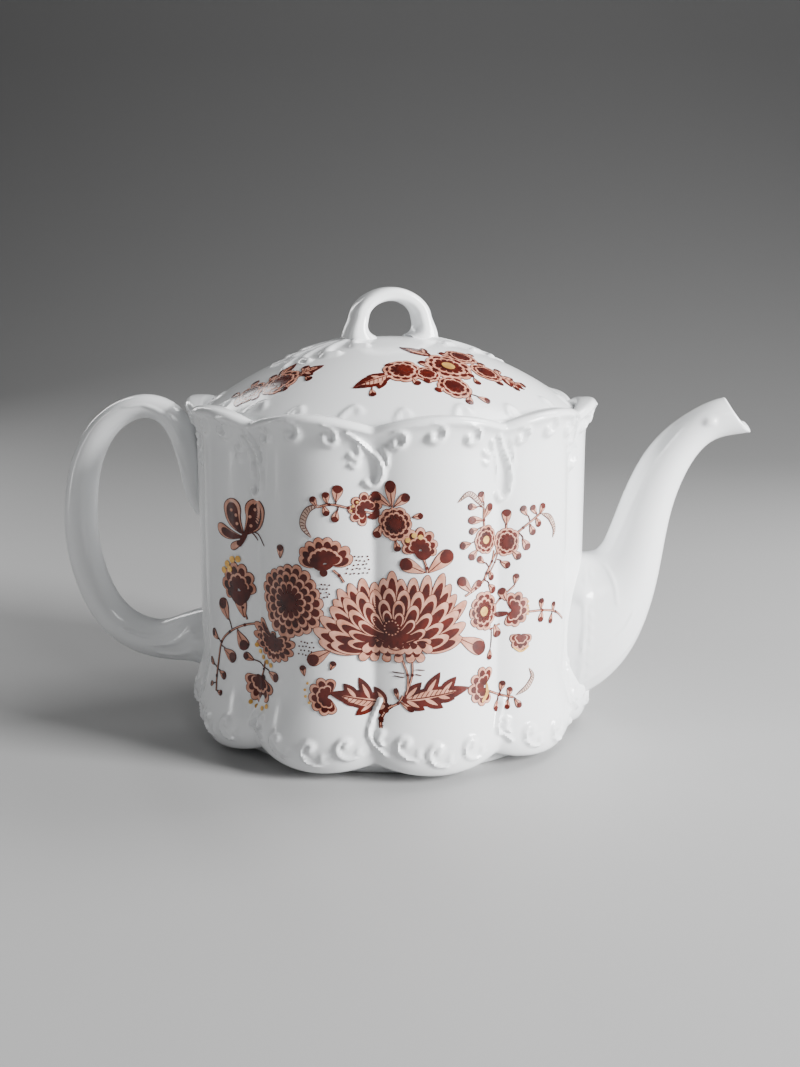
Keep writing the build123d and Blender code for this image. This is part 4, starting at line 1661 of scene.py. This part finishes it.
    @staticmethod
    def lid_sprigs() -> Brush:
        """Paint the lid's sprigs, in plan: right of the ring and at the left edge."""
        brush = Brush(6)
        brush.stem(((-2.7, -48.8), (8.1, -41.5), (22.9, -32.7), (32.4, -27.7), (43.2, -26)), 0.7)
        brush.stem(((22.9, -32.7), (24, -26), (25.5, -20.6)), 0.6)
        brush.stem(((18, -36), (22.9, -43.1), (29.5, -45.9)), 0.6)
        brush.aster(34.6, -27.6, 5.4, 9)
        brush.aster(25.8, -20.8, 5.6, 9)
        brush.aster(24.4, -44.4, 5.6, 9)
        brush.aster(7.2, -40.4, 6.6, 10)
        brush.aster(15.4, -40.6, 4.4, 8)
        brush.aster(22.0, -32.4, 8.2, 11, True)
        brush.leaf((4.0, -43.5), (-8.0, -50.4), ((-4.0, -44.4), (0.5, -51.2)), 6.4)
        brush.leaf((16, -27), (5.0, -22.5), ((8.5, -26.5), (12.5, -20.5)), 5.0)
        brush.leaf((38, -26), (47.5, -27.0), ((43.5, -22.5), (43.0, -30.5)), 5.0)
        for x, y, size in (
            (14, -34.5, 3.0), (12, -46, 2.6), (16.5, -44, 2.8), (20, -47.5, 2.6), (29.5, -49, 2.6),
            (34.0, -46.0, 2.8),
            (29, -33.5, 2.6), (33, -22.5, 2.8), (38.5, -22.5, 2.6), (39, -31, 2.6), (46, -24.2, 2.8),
            (44.5, -29, 2.4),
            (20.5, -23, 2.8), (28.5, -15.5, 2.6), (31.5, -37, 2.4), (3, -38.5, 2.6), (-1.5, -53, 2.4),
        ):
            brush.seed(x, y, size)
        brush.stem(((-47.1, -33.1), (-40.3, -34.4), (-35.7, -35.7), (-26.4, -36.8)), 0.7)
        for x, y, size in (
            (-50, -29.5, 2.8), (-44, -28.5, 3.0), (-41.5, -39, 2.8), (-37.5, -30.5, 2.8),
            (-31.5, -41.5, 2.6), (-26.0, -32.5, 3.0), (-24, -40, 2.4), (-47.5, -37.5, 2.6)
        ):
            brush.seed(x, y, size)
        brush.aster(-44.5, -34.6, 5.4, 9)
        brush.aster(-33.5, -36.4, 6.6, 10)
        brush.leaf((-28, -36), (-19.5, -33.5), ((-24.5, -32.0), (-22.5, -38.5)), 5.4)
        brush.leaf((-35, -31), (-30.0, -24.5), ((-34.5, -26.0),), 4.4)
        return brush


class Painting:
    """Every painted sheet of the teapot."""

    paints = (
        Enamel("enamel_maroon", (0.100, 0.012, 0.007), (0.038, 0.006, 0.005), 0.16),
        Enamel("enamel_salmon", (0.72, 0.38, 0.28), (0.48, 0.19, 0.12)),
        Enamel("enamel_gold", (0.92, 0.56, 0.16), (0.62, 0.33, 0.07), 0.28, 0.45),
        Enamel("enamel_pale", (0.66, 0.52, 0.45), (0.50, 0.33, 0.26)),
    )

    def __init__(self, wall: Wall, dome: Dome) -> None:
        """Mix the paints for a wall and a dome."""
        self.wall, self.dome = wall, dome
        for paint in self.paints:
            paint.build()

    def back(self, s: Array, z: Array, height: Array) -> Array:
        """Place flat points over the half of the wall that faces away."""
        return self.wall.point(2 * 110.0 - s, z, height)

    def under(self, x: Array, y: Array, height: Array) -> Array:
        """Place flat points over the back half of the dome."""
        return self.dome.point(-x, -y, height)

    def build(self) -> tuple[list[bpy.types.Object], list[bpy.types.Object]]:
        """Paint the body's sheets and the lid's.

        Returns:
            The sheets on the body and the sheets on the lid.
        """
        body, lid = [], []
        sprays = {
            "main": Bouquet.main_flowers(),
            "upper": Bouquet.upper_sprig(),
            "right": Bouquet.right_sprig(),
            "lower": Bouquet.lower_spray(),
            "left": Bouquet.left_spray(),
        }
        for name, brush in sprays.items():
            body.append(brush.build(f"painting_{name}_front", self.wall.point))
            body.append(brush.build(f"painting_{name}_back", self.back))
        sprigs = Bouquet.lid_sprigs()
        lid.append(sprigs.build("painting_lid_front", self.dome.point))
        lid.append(sprigs.build("painting_lid_back", self.under))
        return body, lid


@dataclass(frozen=True)
class Stage:
    """Floor, soft studio light and the camera."""

    turn: float = 4.0
    tilt: float = 11.07
    distance: float = 0.467
    height: float = 0.161
    shift: float = 0.0036
    lens: float = 58.32
    # Name, place, width and height in metres, power in watts and the point that the lamp faces.
    lamps: tuple[tuple, ...] = (
        ("key", (1.00, -0.40, 0.42), (0.35, 0.5), 46, (0, 0, 0.08)),
        ("front", (0.55, -1.20, 0.80), (0.25, 0.35), 2.4, (0.02, 0, 0.08)),
        ("strip", (-0.80, -0.16, 0.3), (0.025, 0.7), 1.5, (0, 0, 0.07)),
        ("back_left", (-0.55, 0.70, 0.45), (0.10, 0.6), 1.6, (0, 0, 0.09)),
        ("top", (0.55, 0.30, 0.85), (0.4, 0.4), 7, (0, 0, 0.1)),
    )

    def area(
        self, name: str, place: Sequence[float], size: Sequence[float], power: float, aim: Sequence[float]
    ) -> None:
        """Add a rectangular light that faces a point."""
        bpy.ops.object.light_add(type="AREA", location=place)
        lamp = bpy.context.object
        lamp.name = name
        lamp.data.shape = "RECTANGLE"
        lamp.data.size, lamp.data.size_y = size
        lamp.data.energy = power
        way = Vector(aim) - Vector(place)
        lamp.rotation_euler = way.to_track_quat("-Z", "Y").to_euler()

    def camera(self) -> None:
        """Set the camera in front of the pot, a little above it and to its right."""
        turn, tilt = math.radians(self.turn), math.radians(self.tilt)
        back = Vector((math.sin(turn), -math.cos(turn), 0))
        right = Vector((math.cos(turn), math.sin(turn), 0))
        ahead = -back * math.cos(tilt) + Vector((0, 0, -math.sin(tilt)))
        place = Matrix((right, right.cross(ahead), -ahead)).transposed().to_4x4()
        place.translation = back * self.distance + right * self.shift + Vector((0, 0, self.height))
        bpy.ops.object.camera_add()
        camera = bpy.context.object
        camera.matrix_world = place
        camera.data.sensor_fit = "HORIZONTAL"
        camera.data.sensor_width = 36
        camera.data.lens = self.lens
        camera.data.clip_start = 0.01
        bpy.context.scene.camera = camera

    def build(self) -> None:
        """Add the floor, the lights, the sky and the camera."""
        def sweep(u: Array, v: Array) -> Array:
            """Points of the floor, which turns up behind the pot."""
            run, bend = v * 6400 - 2400, 900.0
            turn = np.clip((run - 700) / bend, 0, np.pi / 2)
            flat = np.minimum(run, 700)
            rise = np.maximum(run - 700 - bend * np.pi / 2, 0)
            return np.stack(
                [u * 8000 - 4000, flat + bend * np.sin(turn), bend * (1 - np.cos(turn)) + rise], axis=1
            )

        floor = Modeller.warp("floor", 4, 80, sweep)
        pale = bpy.data.materials.new("floor_painted_falloff")
        pale.use_nodes = True
        nodes, links = pale.node_tree.nodes, pale.node_tree.links
        place = nodes.new("ShaderNodeTexCoord")
        split = nodes.new("ShaderNodeSeparateXYZ")
        # Painted shade: the floor's colour darkens from the front to the back and up the backdrop, standing
        # in for light that falls off away from the lamps.
        shade = nodes.new("ShaderNodeMapRange")
        shade.inputs["From Min"].default_value = 0.3
        shade.inputs["From Max"].default_value = 1.5
        shade.inputs["To Min"].default_value = 0.36
        shade.inputs["To Max"].default_value = 0.13
        links.new(place.outputs["Object"], split.inputs["Vector"])
        links.new(split.outputs["Y"], shade.inputs["Value"])
        links.new(shade.outputs["Result"], nodes["Principled BSDF"].inputs["Base Color"])
        nodes["Principled BSDF"].inputs["Roughness"].default_value = 0.6
        floor.data.materials.append(pale)
        world = bpy.data.worlds.new("studio")
        world.use_nodes = True
        world.node_tree.nodes["Background"].inputs[0].default_value = (0.50, 0.51, 0.53, 1)
        world.node_tree.nodes["Background"].inputs[1].default_value = 0.06
        bpy.context.scene.world = world
        for lamp in self.lamps:
            self.area(*lamp)
        self.camera()


@dataclass
class Teapot:
    """The whole teapot."""

    wall: Wall = field(default_factory=Wall)
    glaze: Glaze = field(default_factory=Glaze)

    def finish(self, piece: bpy.types.Object, mover: Mover, *parts: Part) -> None:
        """Glaze a piece and tie it to the body and the nodes it stands for."""
        if not piece.data.materials:
            piece.data.materials.append(bpy.data.materials.get("glaze") or self.glaze.build())
        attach(piece, mover.value)
        if parts:
            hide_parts(*[part.value for part in parts])
        LOG.info("%s: %d faces", piece.name, len(piece.data.polygons))

    def build(self) -> None:
        """Build every sub-assembly in order."""
        self.finish(Pot(self.wall).build(), Mover.POT, Part.BODY)
        self.finish(Spout(self.wall).build(), Mover.POT, Part.SPOUT)
        self.finish(Handle(self.wall).build(), Mover.POT, Part.HANDLE)
        lid = Lid()
        self.finish(lid.cover(), Mover.LID, Part.COVER)
        self.finish(lid.ring(), Mover.LID, Part.RING)
        body_sheets, lid_sheets = Painting(self.wall, lid.dome).build()
        for sheet in body_sheets:
            self.finish(sheet, Mover.POT)
        for sheet in lid_sheets:
            self.finish(sheet, Mover.LID)


def main() -> None:
    """Build the teapot and its stage."""
    logging.basicConfig(level=logging.INFO)
    Teapot().build()
    Stage().build()


if __name__ == "__main__":
    main()
